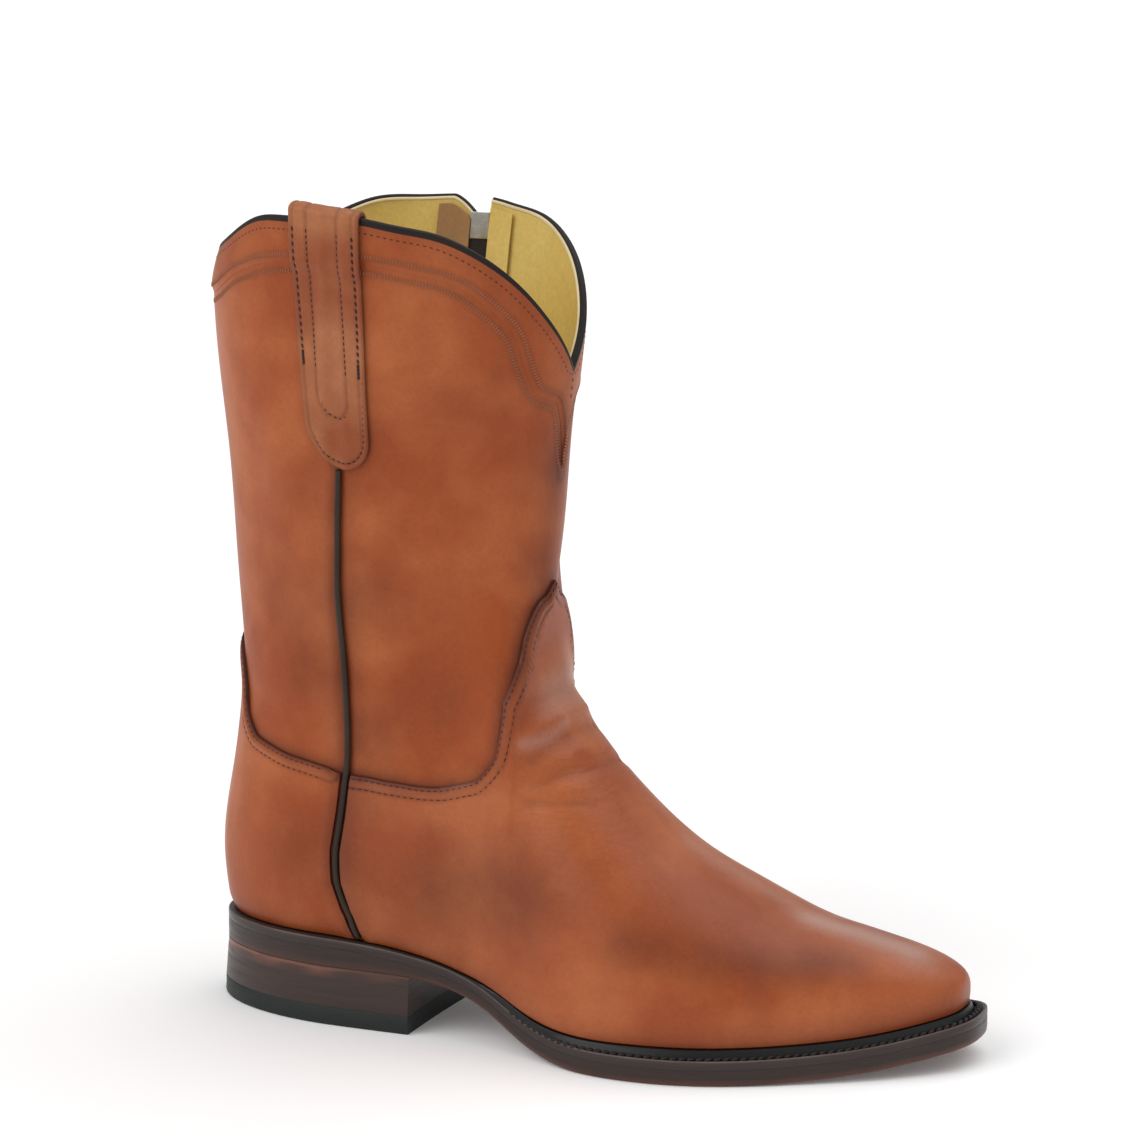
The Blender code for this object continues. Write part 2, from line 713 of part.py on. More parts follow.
def build_binding():
    """The folded strip over the rim, from one edge of the zip round to the other."""
    leg_in = BASE_OUT - LEATHER_WALL - FIT_GAP
    leg_out = BASE_OUT + FIT_GAP
    top = FIT_GAP
    # distance outside the last, height above the rim
    section = np.array([
        (leg_out, -BINDING_DROP),
        (leg_out + BINDING_THICK, -BINDING_DROP),
        (leg_out + BINDING_THICK, top),
        (leg_out, top + BINDING_THICK),
        (leg_in, top + BINDING_THICK),
        (leg_in - BINDING_THICK, top),
        (leg_in - BINDING_THICK, -BINDING_DROP),
        (leg_in, -BINDING_DROP),
        (leg_in, top),
        (leg_out, top),
    ])
    turn = upper_grid(FIT_GAP)[0][-1]
    rise = line_rise(RIM_LINE, turn)
    rings = []
    for out, height in section:
        ring = last_point(turn, rise + min(height, 0.0) * RISE_PER_MM, out)
        ring[:, 2] += max(height, 0.0)
        rings.append(ring)
    rings = np.stack(rings, axis=1)
    return sweep("top_binding", list(rings), DARK_LEATHER)


def build_piping():
    """The dark cord in the lateral side seam."""
    top = STRAP_FOOT_RISE - PIPING_BELOW_STRAP * RISE_PER_MM
    rise = np.linspace(PIPING_FOOT_RISE, top, 22)
    turn = seam_turn(PIPING_LINE, rise)
    centre = last_point(turn, rise, OVERLAY_IN + PIPING_RADIUS)
    _, normal, _ = last_frame(turn, rise)
    along = np.gradient(centre, axis=0)
    along /= np.linalg.norm(along, axis=-1, keepdims=True)
    across = np.cross(normal, along)
    across /= np.linalg.norm(across, axis=-1, keepdims=True)
    angle = np.linspace(0.0, 2.0 * math.pi, 9)[:-1]
    rings = [c + PIPING_RADIUS * (np.cos(angle)[:, None] * n + np.sin(angle)[:, None] * a)
             for c, n, a in zip(centre, normal, across)]
    return sweep("side_piping", rings, DARK_LEATHER)


def build_strap():
    """The pull strap: up the outside, over the rim in a small loop and down inside."""
    rim = float(line_rise(RIM_LINE, math.radians(STRAP_TURN_TOP)))
    strap_edges = np.radians(STRAP_TURN_TOP + np.array([-1.0, 1.0]) * STRAP_COVERS_TURN / 2.0)
    collar = float(np.min(line_rise(COLLAR_LINE, strap_edges))) - STRAP_STEP_BELOW * RISE_PER_MM
    lie_high = OVERLAY_OUT + FIT_GAP
    lie_in = BASE_OUT - LEATHER_WALL - 2.0 * FIT_GAP - BINDING_THICK
    over = 2.0 * FIT_GAP + BINDING_THICK
    # rise, distance of the near face outside the last, distance of the far face
    shares = np.array([0.0, 0.015, 0.04, 0.08, 0.12, 0.2, 0.3, 0.42, 0.54, 0.66, 0.76])
    rise = STRAP_FOOT_RISE + (rim - STRAP_FOOT_RISE) * shares
    rise = np.concatenate((rise, (collar - 0.014, collar, rim - 0.02, rim)))
    near = np.full(len(rise), OVERLAY_IN)
    near[-3:] = lie_high
    far = near + STRAP_THICK
    arc = np.linspace(0.0, math.pi, 11)[1:-1]
    middle = (lie_high + lie_in) / 2.0
    reach = (lie_high - lie_in) / 2.0
    inside = np.linspace(rim, STRAP_INSIDE_RISE, 7)
    lift_near = np.concatenate((np.zeros(len(rise)), over + STRAP_LOOP_RISE * np.sin(arc), np.zeros(7)))
    lift_far = np.concatenate((
        np.zeros(len(rise)), over + (STRAP_LOOP_RISE + STRAP_THICK) * np.sin(arc), np.zeros(7)))
    near = np.concatenate((near, middle + reach * np.cos(arc), np.full(7, lie_in)))
    far = np.concatenate((far, middle + (reach + STRAP_THICK) * np.cos(arc), np.full(7, lie_in - STRAP_THICK)))
    outside_rows = len(rise)
    rise = np.concatenate((rise, np.full(len(arc), rim), inside))
    up = np.clip((rise - STRAP_FOOT_RISE) / (rim - STRAP_FOOT_RISE), 0.0, 1.0)
    up[outside_rows:] = 1.0
    centre = np.radians(STRAP_TURN_FOOT + (STRAP_TURN_TOP - STRAP_TURN_FOOT) * up)
    width = STRAP_WIDTH_FOOT + (STRAP_WIDTH_TOP - STRAP_WIDTH_FOOT) * up
    from_end = np.clip((rise - STRAP_FOOT_RISE) / RISE_PER_MM / STRAP_END_ROUND, 0.02, 1.0)
    from_end[outside_rows:] = 1.0
    width = width * np.sqrt(1.0 - (1.0 - from_end) ** 2)
    half = turn_of(width / 2.0, centre, rise)
    across = np.linspace(-1.0, 1.0, STRAP_COLUMNS)
    turn = centre[:, None] + half[:, None] * across
    grid_rise = np.repeat(rise[:, None], len(across), axis=1)
    outer = last_point(turn, grid_rise, far[:, None])
    inner = last_point(turn, grid_rise, near[:, None])
    outer[..., 2] += lift_far[:, None]
    inner[..., 2] += lift_near[:, None]
    rows, columns = turn.shape
    keep = np.ones((rows - 1, columns), dtype=bool)
    keep[:, -1] = False
    points = np.vstack((outer.reshape(-1, 3), inner.reshape(-1, 3)))
    return solid("pull_strap", points, wall_faces(rows, columns, keep), LEATHER)


TAPE_OUT = BASE_OUT - LEATHER_WALL - FIT_GAP
COIL_IN = TAPE_OUT + FIT_GAP
COIL_OUT = COIL_IN + ZIP_COIL_THICK
ZIP_RIM_RISE = float(line_rise(RIM_LINE, seam_turn(ZIP_LINE, 0.95)))
ZIP_SLOT_FOOT_RISE = float(row_rise(ZIP_ROWS_BELOW_SLOT, seam_turn(ZIP_LINE, 0.08)))
ZIP_TOP_TURN = float(seam_turn(ZIP_LINE, 0.95))
ZIP_MM = float(rise_per_mm(ZIP_TOP_TURN, 0.95))
SLIDER_TOP_RISE = ZIP_RIM_RISE - (BINDING_DROP + SLIDER_BELOW_BINDING) * ZIP_MM
SLIDER_RISE = SLIDER_TOP_RISE - SLIDER_LENGTH / 2.0 * ZIP_MM
ZIP_COIL_TOP_RISE = SLIDER_TOP_RISE - (SLIDER_POST_LENGTH + 2.0 * FIT_GAP) * ZIP_MM
ZIP_TAPE_TOP_RISE = SLIDER_RISE - (SLIDER_LENGTH / 2.0 + 2.0 * FIT_GAP) * ZIP_MM
HINGE_OUT = COIL_OUT + FIT_GAP + SLIDER_PLATE + HINGE_HEIGHT


def zip_strip(name, width, low, high, inside, outside, colour, columns):
    """Make a strip of a width in mm along the zip line."""
    grid = patch(
        seam_beside(ZIP_LINE, -1.0, width / 2.0),
        seam_beside(ZIP_LINE, 1.0, width / 2.0),
        lambda turn: low + 0.0 * turn, lambda turn: high + 0.0 * turn, columns, ZIP_STRIP_ROWS)
    return overlay(name, grid, inside, outside, colour)


def slider_axes():
    """Return the slider's place on the last with its side, up and outward directions."""
    turn = seam_turn(ZIP_LINE, SLIDER_RISE)
    place, outward, _ = last_frame(turn, SLIDER_RISE)
    side = np.cross((0.0, 0.0, 1.0), outward)
    side /= np.linalg.norm(side)
    return place, side, np.cross(outward, side), outward


def box(axes, low, high):
    """Return a box's corners and faces in the axes of a place."""
    place, side, up, outward = axes
    corners = []
    for o in (low[2], high[2]):
        for u in (low[1], high[1]):
            for s in (low[0], high[0]):
                corners.append(place + side * s + up * u + outward * o)
    faces = [(0, 1, 3, 2), (4, 6, 7, 5), (0, 4, 5, 1), (1, 5, 7, 3), (3, 7, 6, 2), (2, 6, 4, 0)]
    return np.array(corners), faces


def rod(centre, axis, radius, length, sides=16):
    """Return a round rod's points and faces about a centre."""
    guide = np.cross(axis, (0.0, 0.0, 1.0))
    guide /= np.linalg.norm(guide)
    other = np.cross(axis, guide)
    angle = np.linspace(0.0, 2.0 * math.pi, sides, endpoint=False)
    ring = radius * (np.cos(angle)[:, None] * guide + np.sin(angle)[:, None] * other)
    points = np.vstack((centre + ring - axis * length / 2.0, centre + ring + axis * length / 2.0))
    faces = [tuple(range(sides)), tuple(range(sides, 2 * sides))]
    for i in range(sides):
        j = (i + 1) % sides
        faces.append((i, j, sides + j, sides + i))
    return points, faces


def combine(target, pieces, operation):
    """Join pieces to a target, or cut them from it, with exact booleans, and drop the pieces."""
    for number, (points, faces) in enumerate(pieces):
        tool = solid(target.name + "_tool_" + str(number), points, faces, METAL)
        modifier = target.modifiers.new("shape", "BOOLEAN")
        modifier.solver = "EXACT"
        modifier.operation = operation
        modifier.object = tool
        bpy.context.view_layer.update()
        shaped = bpy.data.meshes.new_from_object(target.evaluated_get(bpy.context.evaluated_depsgraph_get()))
        target.modifiers.clear()
        finish = target.data.materials[0]
        target.data = shaped
        shaped.materials.clear()
        shaped.materials.append(finish)
        bpy.data.objects.remove(tool)
    work = bmesh.new()
    work.from_mesh(target.data)
    bmesh.ops.triangulate(work, faces=work.faces)
    work.to_mesh(target.data)
    work.free()


def build_zip():
    """The coil zip on the medial side, closed, with its slider at the top and the hinged tab."""
    zip_strip("zip_tape", ZIP_TAPE_WIDTH, ZIP_SLOT_FOOT_RISE - ZIP_TAPE_BELOW * RISE_PER_MM,
              ZIP_TAPE_TOP_RISE, TAPE_OUT - ZIP_TAPE_THICK, TAPE_OUT, TAPE, 5)
    zip_strip("zip_coil", ZIP_COIL_WIDTH, ZIP_SLOT_FOOT_RISE + 2.0 * FIT_GAP * RISE_PER_MM,
              ZIP_COIL_TOP_RISE, COIL_IN, COIL_OUT, METAL, 3)
    axes = slider_axes()
    place, side, _, outward = axes
    half = SLIDER_LENGTH / 2.0
    outer_low = COIL_OUT + FIT_GAP
    outer_high = outer_low + SLIDER_PLATE
    inner_high = COIL_IN - FIT_GAP
    inner_low = inner_high - SLIDER_PLATE
    bite = 0.4 * SLIDER_PLATE
    points, faces = box(axes, (-SLIDER_WIDTH / 2.0, -half, outer_low), (SLIDER_WIDTH / 2.0, half, outer_high))
    slider = solid("zip_slider", points, faces, METAL, 0.3, 1.0)
    hinge = place + outward * HINGE_OUT
    lug_in = TAB_NECK_WIDTH / 2.0 + HINGE_CLEAR
    lug_top = HINGE_OUT + HINGE_RADIUS + LUG_THICK
    pieces = [
        box(axes, (-SLIDER_POST_WIDTH / 2.0, half - SLIDER_POST_LENGTH, inner_high - bite),
            (SLIDER_POST_WIDTH / 2.0, half - bite, outer_low + bite)),
        box(axes, (-SLIDER_WIDTH / 2.0, -half, inner_low), (SLIDER_WIDTH / 2.0, half, inner_high)),
        box(axes, (lug_in, -LUG_LENGTH / 2.0, outer_high - bite), (lug_in + LUG_THICK, LUG_LENGTH / 2.0, lug_top)),
        box(axes, (-lug_in - LUG_THICK, -LUG_LENGTH / 2.0, outer_high - bite),
            (-lug_in, LUG_LENGTH / 2.0, lug_top)),
        rod(hinge, side, HINGE_RADIUS, 2.0 * lug_in + LUG_THICK),
    ]
    combine(slider, pieces, "UNION")
    flat_out = outward * (1.0, 1.0, 0.0)
    hang = (hinge, side, np.array((0.0, 0.0, 1.0)), flat_out / np.linalg.norm(flat_out))
    thick = TAB_THICK / 2.0
    bore = HINGE_RADIUS + HINGE_CLEAR
    points, faces = box(hang, (-TAB_WIDTH / 2.0, -TAB_LENGTH, -thick), (TAB_WIDTH / 2.0, -TAB_NECK_LENGTH, thick))
    tab = solid("zip_pull", points, faces, METAL, 0.3, 1.0)
    combine(tab, [
        box(hang, (-TAB_NECK_WIDTH / 2.0, -TAB_NECK_LENGTH - bite, -TAB_NECK_THICK / 2.0),
            (TAB_NECK_WIDTH / 2.0, -bore, TAB_NECK_THICK / 2.0)),
        rod(hinge, side, bore + KNUCKLE_WALL, KNUCKLE_LENGTH),
    ], "UNION")
    combine(tab, [
        rod(hinge, side, bore, TAB_NECK_WIDTH + 2.0),
        box(hang, (-TAB_HOLE_WIDTH / 2.0, -TAB_LENGTH + TAB_RIM, -TAB_THICK),
            (TAB_HOLE_WIDTH / 2.0, -TAB_LENGTH + TAB_RIM + TAB_HOLE_LENGTH, TAB_THICK)),
    ], "DIFFERENCE")


def sole_loop(turn, grow, use_margin=True):
    """Return plan points round the sole, grow mm outside its edge or outside the last's foot."""
    point, normal, _ = last_frame(turn, 0.0 * turn)
    flat = normal * (1.0, 1.0, 0.0)
    flat /= np.linalg.norm(flat, axis=-1, keepdims=True)
    folded = np.degrees(np.abs((turn + math.pi) % (2.0 * math.pi) - math.pi))
    margin = np.interp(folded, SOLE_MARGIN[:, 0], SOLE_MARGIN[:, 1]) if use_margin else 0.0
    return (point + flat * (grow + margin)[..., None])[:, :2]


def at_height(loop, height):
    """Add to plan points the height that a function of x gives."""
    return np.column_stack((loop, height(loop[:, 0])))


def ground_z(x):
    """Return the height of the outsole's underside, flat on the floor under the ball of the foot."""
    return np.maximum(column(FOOT_STATIONS, 5, x) - SOLE_FLAT_TRIM, 0.0)


def outsole_top(x):
    return feather_z(x) - WELT_THICK - 2.0 * FIT_GAP


def plate(name, low, high, colour, roughness=0.6):
    """Make a plate from a lower and an upper loop, whose points pair off across the foot."""
    count = len(low)
    faces = []
    for i in range(count):
        j = (i + 1) % count
        faces.append((i, j, count + j, count + i))
    for level in (0, count):
        for i in range(count // 2):
            a, b = i, i + 1
            c, d = (count - i - 1) % count, (count - i) % count
            corners = [a, b, c, d]
            if len(set(corners)) == 4:
                faces.append(tuple(level + k for k in corners))
            else:
                faces.append(tuple(level + k for k in sorted(set(corners))))
    return solid(name, np.vstack((low, high)), faces, colour, roughness)


def sole_turns(columns):
    """Return turns round the whole sole, closer at heel and toe, in pairs across the foot."""
    half = np.linspace(0.0, math.pi, columns + 1)
    return np.concatenate((half, 2.0 * math.pi - half[1:-1][::-1]))


def build_sole():
    """Insole, welt with its lip, leather outsole, stacked heel and rubber top lift."""
    turn = sole_turns(SIDE_COLUMNS)
    zero = np.zeros(len(turn))
    folded = np.degrees(np.abs((turn + math.pi) % (2.0 * math.pi) - math.pi))
    margin = np.interp(folded, SOLE_MARGIN[:, 0], SOLE_MARGIN[:, 1])
    welt_in = BASE_OUT - LEATHER_WALL - TUCK_DEPTH - WELT_SHELF
    foot_x = sole_loop(turn, zero)[:, 0]
    lip = lip_height(foot_x)
    lip_out = np.minimum(OVERLAY_IN + WELT_LIP_THICK, margin - 0.5)
    lip_foot = np.minimum(lip_out + WELT_LIP_FOOT, margin - 0.25)

    def welt_ring(out, height):
        loop = sole_loop(turn, out, False)
        ring = at_height(loop, outsole_top)
        ring[:, 2] += FIT_GAP + height
        return ring

    rings = np.stack([
        welt_ring(zero + welt_in, 0.0),
        welt_ring(margin, 0.0),
        welt_ring(margin, WELT_THICK),
        welt_ring(lip_foot, WELT_THICK),
        welt_ring(lip_out, WELT_THICK + lip),
        welt_ring(zero + OVERLAY_IN, WELT_THICK + lip),
        welt_ring(zero + OVERLAY_IN, WELT_THICK),
        welt_ring(zero + welt_in, WELT_THICK),
    ], axis=1)
    sweep("welt", list(rings), SOLE_BROWN, closed=True)

    loop = sole_loop(turn, zero + welt_in - INSOLE_CLEAR, False)
    plate("insole",
          at_height(loop, lambda x: outsole_top(x) + FIT_GAP),
          at_height(loop, lambda x: feather_z(x) + INSOLE_ABOVE_FEATHER), INSOLE_TAN)
    loop = sole_loop(turn, zero)
    plate("outsole", at_height(loop, ground_z), at_height(loop, outsole_top), SOLE_BROWN)

    heel_level = [
        ("heel_lift", HEEL_FLARE, lambda x: 0.0 * x, HEEL_FLARE, lambda x: 0.0 * x + HEEL_LIFT_THICK, RUBBER),
        ("heel_stack", HEEL_FLARE, lambda x: 0.0 * x + HEEL_LIFT_THICK + FIT_GAP,
         0.0, lambda x: ground_z(x) - FIT_GAP, SOLE_BROWN),
    ]
    for name, low_grow, low_z, high_grow, high_z, colour in heel_level:
        loops = []
        for grow, height in ((low_grow, low_z), (high_grow, high_z)):
            probe = np.linspace(0.0, math.pi / 2.0, 200)
            edge = [sole_loop(sign * probe, 0.0 * probe + grow)[:, 0] for sign in (1.0, -1.0)]
            ends = [np.interp(HEEL_BREAST_X, x, probe) for x in edge]
            lateral = np.linspace(0.0, 1.0, 15) * ends[0]
            medial = -np.linspace(0.0, 1.0, 15) * ends[1]
            loop_turn = np.concatenate((lateral, medial[:0:-1]))
            loops.append(at_height(sole_loop(loop_turn, 0.0 * loop_turn + grow), height))
        plate(name, loops[0], loops[1], colour, 0.7)


build_upper()
build_overlays()
build_binding()
build_piping()
build_strap()
build_zip()
build_sole()
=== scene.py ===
"""Roper boot for the right foot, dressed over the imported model.

Frame as in the model: X from heel to toe, Z up, Y towards the medial side with the zip, in metres.
The sizes of the leather are in millimetres, and MM turns them into metres.
"""
import math

import bmesh
import bpy
import numpy as np
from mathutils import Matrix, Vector


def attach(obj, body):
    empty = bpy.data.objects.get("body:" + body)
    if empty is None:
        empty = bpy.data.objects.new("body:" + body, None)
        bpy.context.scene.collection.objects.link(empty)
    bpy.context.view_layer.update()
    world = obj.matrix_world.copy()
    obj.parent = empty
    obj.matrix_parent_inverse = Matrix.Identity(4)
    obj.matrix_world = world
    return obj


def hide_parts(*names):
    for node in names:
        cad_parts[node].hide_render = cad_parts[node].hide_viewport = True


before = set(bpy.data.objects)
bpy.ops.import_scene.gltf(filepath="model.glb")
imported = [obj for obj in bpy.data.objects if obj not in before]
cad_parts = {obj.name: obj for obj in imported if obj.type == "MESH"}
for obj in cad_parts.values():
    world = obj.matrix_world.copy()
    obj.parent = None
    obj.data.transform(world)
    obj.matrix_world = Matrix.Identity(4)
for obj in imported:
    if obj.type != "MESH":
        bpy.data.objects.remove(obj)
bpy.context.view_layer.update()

# --- the last and the leather of shaft and foot
# One wall of cognac leather lasted over the foot form, with a mustard lining on its inside. It is open at
# the collar and along the zip. The surface is the last's own function, with soft folds pressed into it.
MM = 0.001
TOE_TIP_X = 250.5
TOE_TIP_Z = 27.0
TOE_ROUND_X = 222.0
TOE_PROFILE_POWER = 2.6
TOE_PLAN_START_X = 205.0
TOE_PLAN_POWER = 2.7
BACK_TOP_Z = 312.0
FRONT_TOP_Z = 298.0
HEEL_ROUND_MAX = 58.0
CORE_ABOVE_FEATHER = 8.0
TUCK_DEPTH = 1.5
TUCK_HEIGHT = 7.0
SHAFT_POWER = 2.0
FOOT_POWER = 2.35
SECTION_BLEND_X = (45.0, 110.0)
SECTION_BLEND_Z = (195.0, 140.0)
WIDTH_BLEND_X = (20.0, 85.0)
WIDTH_BLEND_Z = (170.0, 110.0)
# level z, back profile x, half width, centre y
SHAFT_LEVELS = np.array([
    (30.0, -33.1, 32.0, -4.5), (60.0, -36.0, 34.5, -4.5), (90.0, -31.9, 34.5, -3.5),
    (120.0, -28.8, 34.5, -2.5), (150.0, -30.2, 36.0, -1.5), (175.0, -31.7, 40.0, -1.0),
    (205.0, -33.0, 45.0, -0.5), (250.0, -36.7, 50.0, 0.0), (300.0, -37.5, 54.0, 0.0),
    (320.0, -37.5, 54.5, 0.0)])
# the shaft's back leans in towards the rim: level it starts at, slope, softness, power it dies out with
LEAN = (262.0, 0.42, 25.0, 4.0)
# front profile from the toe up the vamp, instep and shaft: x, z
FRONT_PROFILE = np.array([
    (222.0, 41.7), (209.0, 44.7), (195.0, 48.0), (181.0, 54.1), (167.5, 61.6), (153.5, 70.1),
    (139.7, 81.0), (125.5, 95.7), (111.8, 113.0), (103.8, 126.3), (98.8, 139.1), (96.8, 152.0),
    (97.0, 166.0), (98.3, 181.0), (99.6, 198.0), (101.0, 217.0), (103.0, 235.0), (105.0, 253.0),
    (106.0, 275.0), (107.0, 300.0)])
# station x, centre y, lateral half width, medial half width, feather edge z, outsole underside z
FOOT_STATIONS = np.array([
    (-42.0, -4.5, 32.0, 32.0, 33.3, 22.0), (0.0, -4.5, 33.5, 33.5, 33.0, 22.0),
    (35.0, -4.7, 34.0, 33.0, 32.3, 22.0), (52.0, -5.0, 33.2, 31.5, 30.5, 21.8),
    (70.0, -5.5, 32.5, 30.0, 27.0, 19.0), (86.0, -6.0, 34.0, 30.0, 21.5, 13.4),
    (100.0, -6.3, 38.0, 32.5, 15.2, 6.4), (115.0, -6.5, 43.0, 36.5, 11.0, 1.5),
    (130.0, -6.5, 46.5, 43.0, 9.7, 0.0), (150.0, -5.5, 47.5, 47.5, 9.6, 0.0),
    (170.0, -2.2, 46.6, 48.8, 9.6, 0.0), (190.0, 1.5, 41.5, 45.0, 9.9, 0.2),
    (210.0, 5.3, 33.8, 36.5, 10.9, 1.3), (230.0, 9.5, 26.5, 29.5, 13.2, 3.6),
    (250.0, 13.5, 19.5, 25.5, 17.0, 7.4), (262.0, 15.5, 17.0, 23.5, 19.6, 10.0)])
# edges on the last: turn in degrees, rise
RIM_LINE = np.array([
    (0.0, 0.893), (20.0, 0.903), (30.0, 0.914), (40.0, 0.93), (50.0, 0.9505), (60.0, 0.967), (75.0, 0.976),
    (98.0, 0.986), (109.0, 0.983), (121.0, 0.979), (133.6, 0.964), (148.0, 0.936), (159.6, 0.907),
    (172.0, 0.875), (180.0, 0.853)])
COLLAR_LINE = np.array([
    (0.0, 0.835), (20.0, 0.844), (30.0, 0.852), (38.0, 0.864), (50.0, 0.893), (63.6, 0.916),
    (74.0, 0.926), (98.6, 0.94), (105.0, 0.94), (121.0, 0.936), (129.5, 0.928), (138.4, 0.909),
    (146.6, 0.888), (152.0, 0.852), (157.0, 0.831), (170.6, 0.821), (176.0, 0.795), (180.0, 0.74)])
VAMP_LINE = np.array([
    (66.0, 0.273), (77.0, 0.291), (94.5, 0.332), (108.2, 0.37), (121.0, 0.42), (133.0, 0.477), (140.4, 0.511),
    (160.3, 0.57), (168.6, 0.623), (180.0, 0.642)])
COUNTER_LINE = np.array([
    (0.0, 0.385), (14.0, 0.37), (22.0, 0.345), (24.5, 0.29), (33.4, 0.267), (48.0, 0.265), (57.4, 0.27),
    (62.0, 0.272)])
# seams down the sides: rise, turn in degrees
PIPING_LINE = np.array([
    (0.0, 58.4), (0.04, 57.0), (0.084, 57.2), (0.138, 59.0), (0.19, 61.6), (0.248, 64.6), (0.34, 70.6),
    (0.458, 78.7), (0.599, 87.6), (0.704, 90.3), (1.0, 91.0)])
ZIP_LINE = np.array([
    (0.0, 298.0), (0.093, 297.0), (0.253, 290.0), (0.458, 276.0), (0.599, 268.0), (0.704, 264.5),
    (1.0, 262.0)])
LEATHER_WALL = 2.0
BASE_OUT = -0.8
OVERLAY_IN = -0.4
OVERLAY_OUT = 0.8
ZIP_SLOT_WIDTH = 7.0
ZIP_SLOT_FOOT_RISE = 0.075
UPPER_ROWS = 190
UPPER_COLUMNS = 240
POINTS_AT_ONCE = 8000
# leather puffed up beside a seam: height, distance from the seam and half width in mm
PIPING_PUFF = (0.75, 4.2, 2.4)
ZIP_PUFF = (0.5, 8.0, 3.5)
# the shaft's lazy waves: height in mm, and the levels between which they start and die out
WAVE_HEIGHT = 0.35
WAVE_START = (110.0, 180.0)
WAVE_END = (285.0, 240.0)
# folds in the leather: depth in mm (a trough is below 0), half width in mm, turn in degrees and rise
FOLDS = [
    (-1.3, 5.0, [(146.0, 0.500), (160.0, 0.524), (180.0, 0.532), (200.0, 0.524), (216.0, 0.500)]),
    (0.8, 2.0, [(137.0, 0.462), (148.0, 0.486), (163.0, 0.503), (180.0, 0.508), (200.0, 0.500)]),
    (-1.1, 3.2, [(138.0, 0.440), (150.0, 0.468), (165.0, 0.484), (182.0, 0.488), (204.0, 0.474)]),
    (0.6, 1.7, [(136.0, 0.432), (148.0, 0.450), (168.0, 0.466), (186.0, 0.466)]),
    (-0.7, 2.2, [(133.0, 0.405), (150.0, 0.435), (170.0, 0.446), (192.0, 0.440), (215.0, 0.412)]),
    (0.5, 1.5, [(128.0, 0.392), (142.0, 0.412), (158.0, 0.424)]),
    (-0.5, 1.6, [(124.0, 0.372), (140.0, 0.392), (156.0, 0.402)]),
    (-0.9, 6.0, [(20.0, 0.300), (34.0, 0.315), (50.0, 0.330)]),
    (-0.8, 5.0, [(300.0, 0.330), (322.0, 0.320), (340.0, 0.310)]),
    (-0.9, 7.0, [(100.0, 0.420), (118.0, 0.470), (134.0, 0.520)]),
    (-0.7, 9.0, [(108.0, 0.520), (116.0, 0.620), (122.0, 0.720)]),
    (-0.6, 8.0, [(40.0, 0.560), (52.0, 0.640), (56.0, 0.740)]),
    (0.6, 9.0, [(64.0, 0.520), (68.0, 0.620), (70.0, 0.740)]),
    (-0.8, 7.0, [(228.0, 0.480), (240.0, 0.540), (248.0, 0.640)]),
    (-0.7, 8.0, [(300.0, 0.540), (312.0, 0.640), (316.0, 0.760)]),
]


def natural_spline(knots, values, at):
    """The natural cubic spline through (knots, values), held level past both ends."""
    at = np.asarray(at, dtype=float)
    steps = np.diff(knots)
    count = len(knots)
    matrix = np.eye(count)
    inner = np.arange(1, count - 1)
    matrix[inner, inner - 1] = steps[:-1]
    matrix[inner, inner] = 2.0 * (steps[:-1] + steps[1:])
    matrix[inner, inner + 1] = steps[1:]
    slopes = np.diff(values) / steps
    right = np.zeros(count)
    right[1:-1] = 6.0 * np.diff(slopes)
    bend = np.linalg.solve(matrix, right)
    inside = np.clip(at, knots[0], knots[-1])
    k = np.clip(np.searchsorted(knots, inside, side="right") - 1, 0, count - 2)
    ahead = knots[k + 1] - inside
    behind = inside - knots[k]
    step = steps[k]
    curve = (bend[k] * ahead ** 3 + bend[k + 1] * behind ** 3) / (6.0 * step)
    curve += (values[k] / step - bend[k] * step / 6.0) * ahead
    return curve + (values[k + 1] / step - bend[k + 1] * step / 6.0) * behind


def station(table, number, at):
    """One column of a table as a spline over its first column."""
    return natural_spline(table[:, 0], table[:, number], at)


def ramp(start, end, at):
    """0 at start, 1 at end, and a smooth step between them."""
    share = np.clip((at - start) / (end - start), 0.0, 1.0)
    return share * share * (3.0 - 2.0 * share)


def front_run():
    """The front profile as a dense line: a superellipse round the toe, then a spline up the vamp."""
    angle = np.linspace(0.0, math.pi / 2.0, 90)
    nose_x = TOE_ROUND_X + (TOE_TIP_X - TOE_ROUND_X) * np.cos(angle) ** (2.0 / TOE_PROFILE_POWER)
    slope = (FRONT_PROFILE[1, 1] - FRONT_PROFILE[0, 1]) / (FRONT_PROFILE[1, 0] - FRONT_PROFILE[0, 0])
    crest = FRONT_PROFILE[0, 1] + slope * (nose_x - TOE_ROUND_X)
    nose_z = TOE_TIP_Z + (crest - TOE_TIP_Z) * np.sin(angle) ** (2.0 / TOE_PROFILE_POWER)
    length = np.concatenate(([0.0], np.cumsum(np.hypot(*np.diff(FRONT_PROFILE, axis=0).T))))
    at = np.linspace(0.0, length[-1], 600)
    x = np.concatenate(([TOE_TIP_X], nose_x, natural_spline(length, FRONT_PROFILE[:, 0], at)[1:]))
    z = np.concatenate(([TOE_TIP_Z - 20.0], nose_z, natural_spline(length, FRONT_PROFILE[:, 1], at)[1:]))
    return x, z, np.concatenate(([0.0], np.cumsum(np.hypot(np.diff(x), np.diff(z)))))


FRONT_X, FRONT_Z, FRONT_RUN = front_run()
THROAT = int(np.argmin(FRONT_X))


def feather_z(x):
    """The height of the feather edge, where the upper meets the sole, at a place along the foot."""
    return station(FOOT_STATIONS, 4, x)


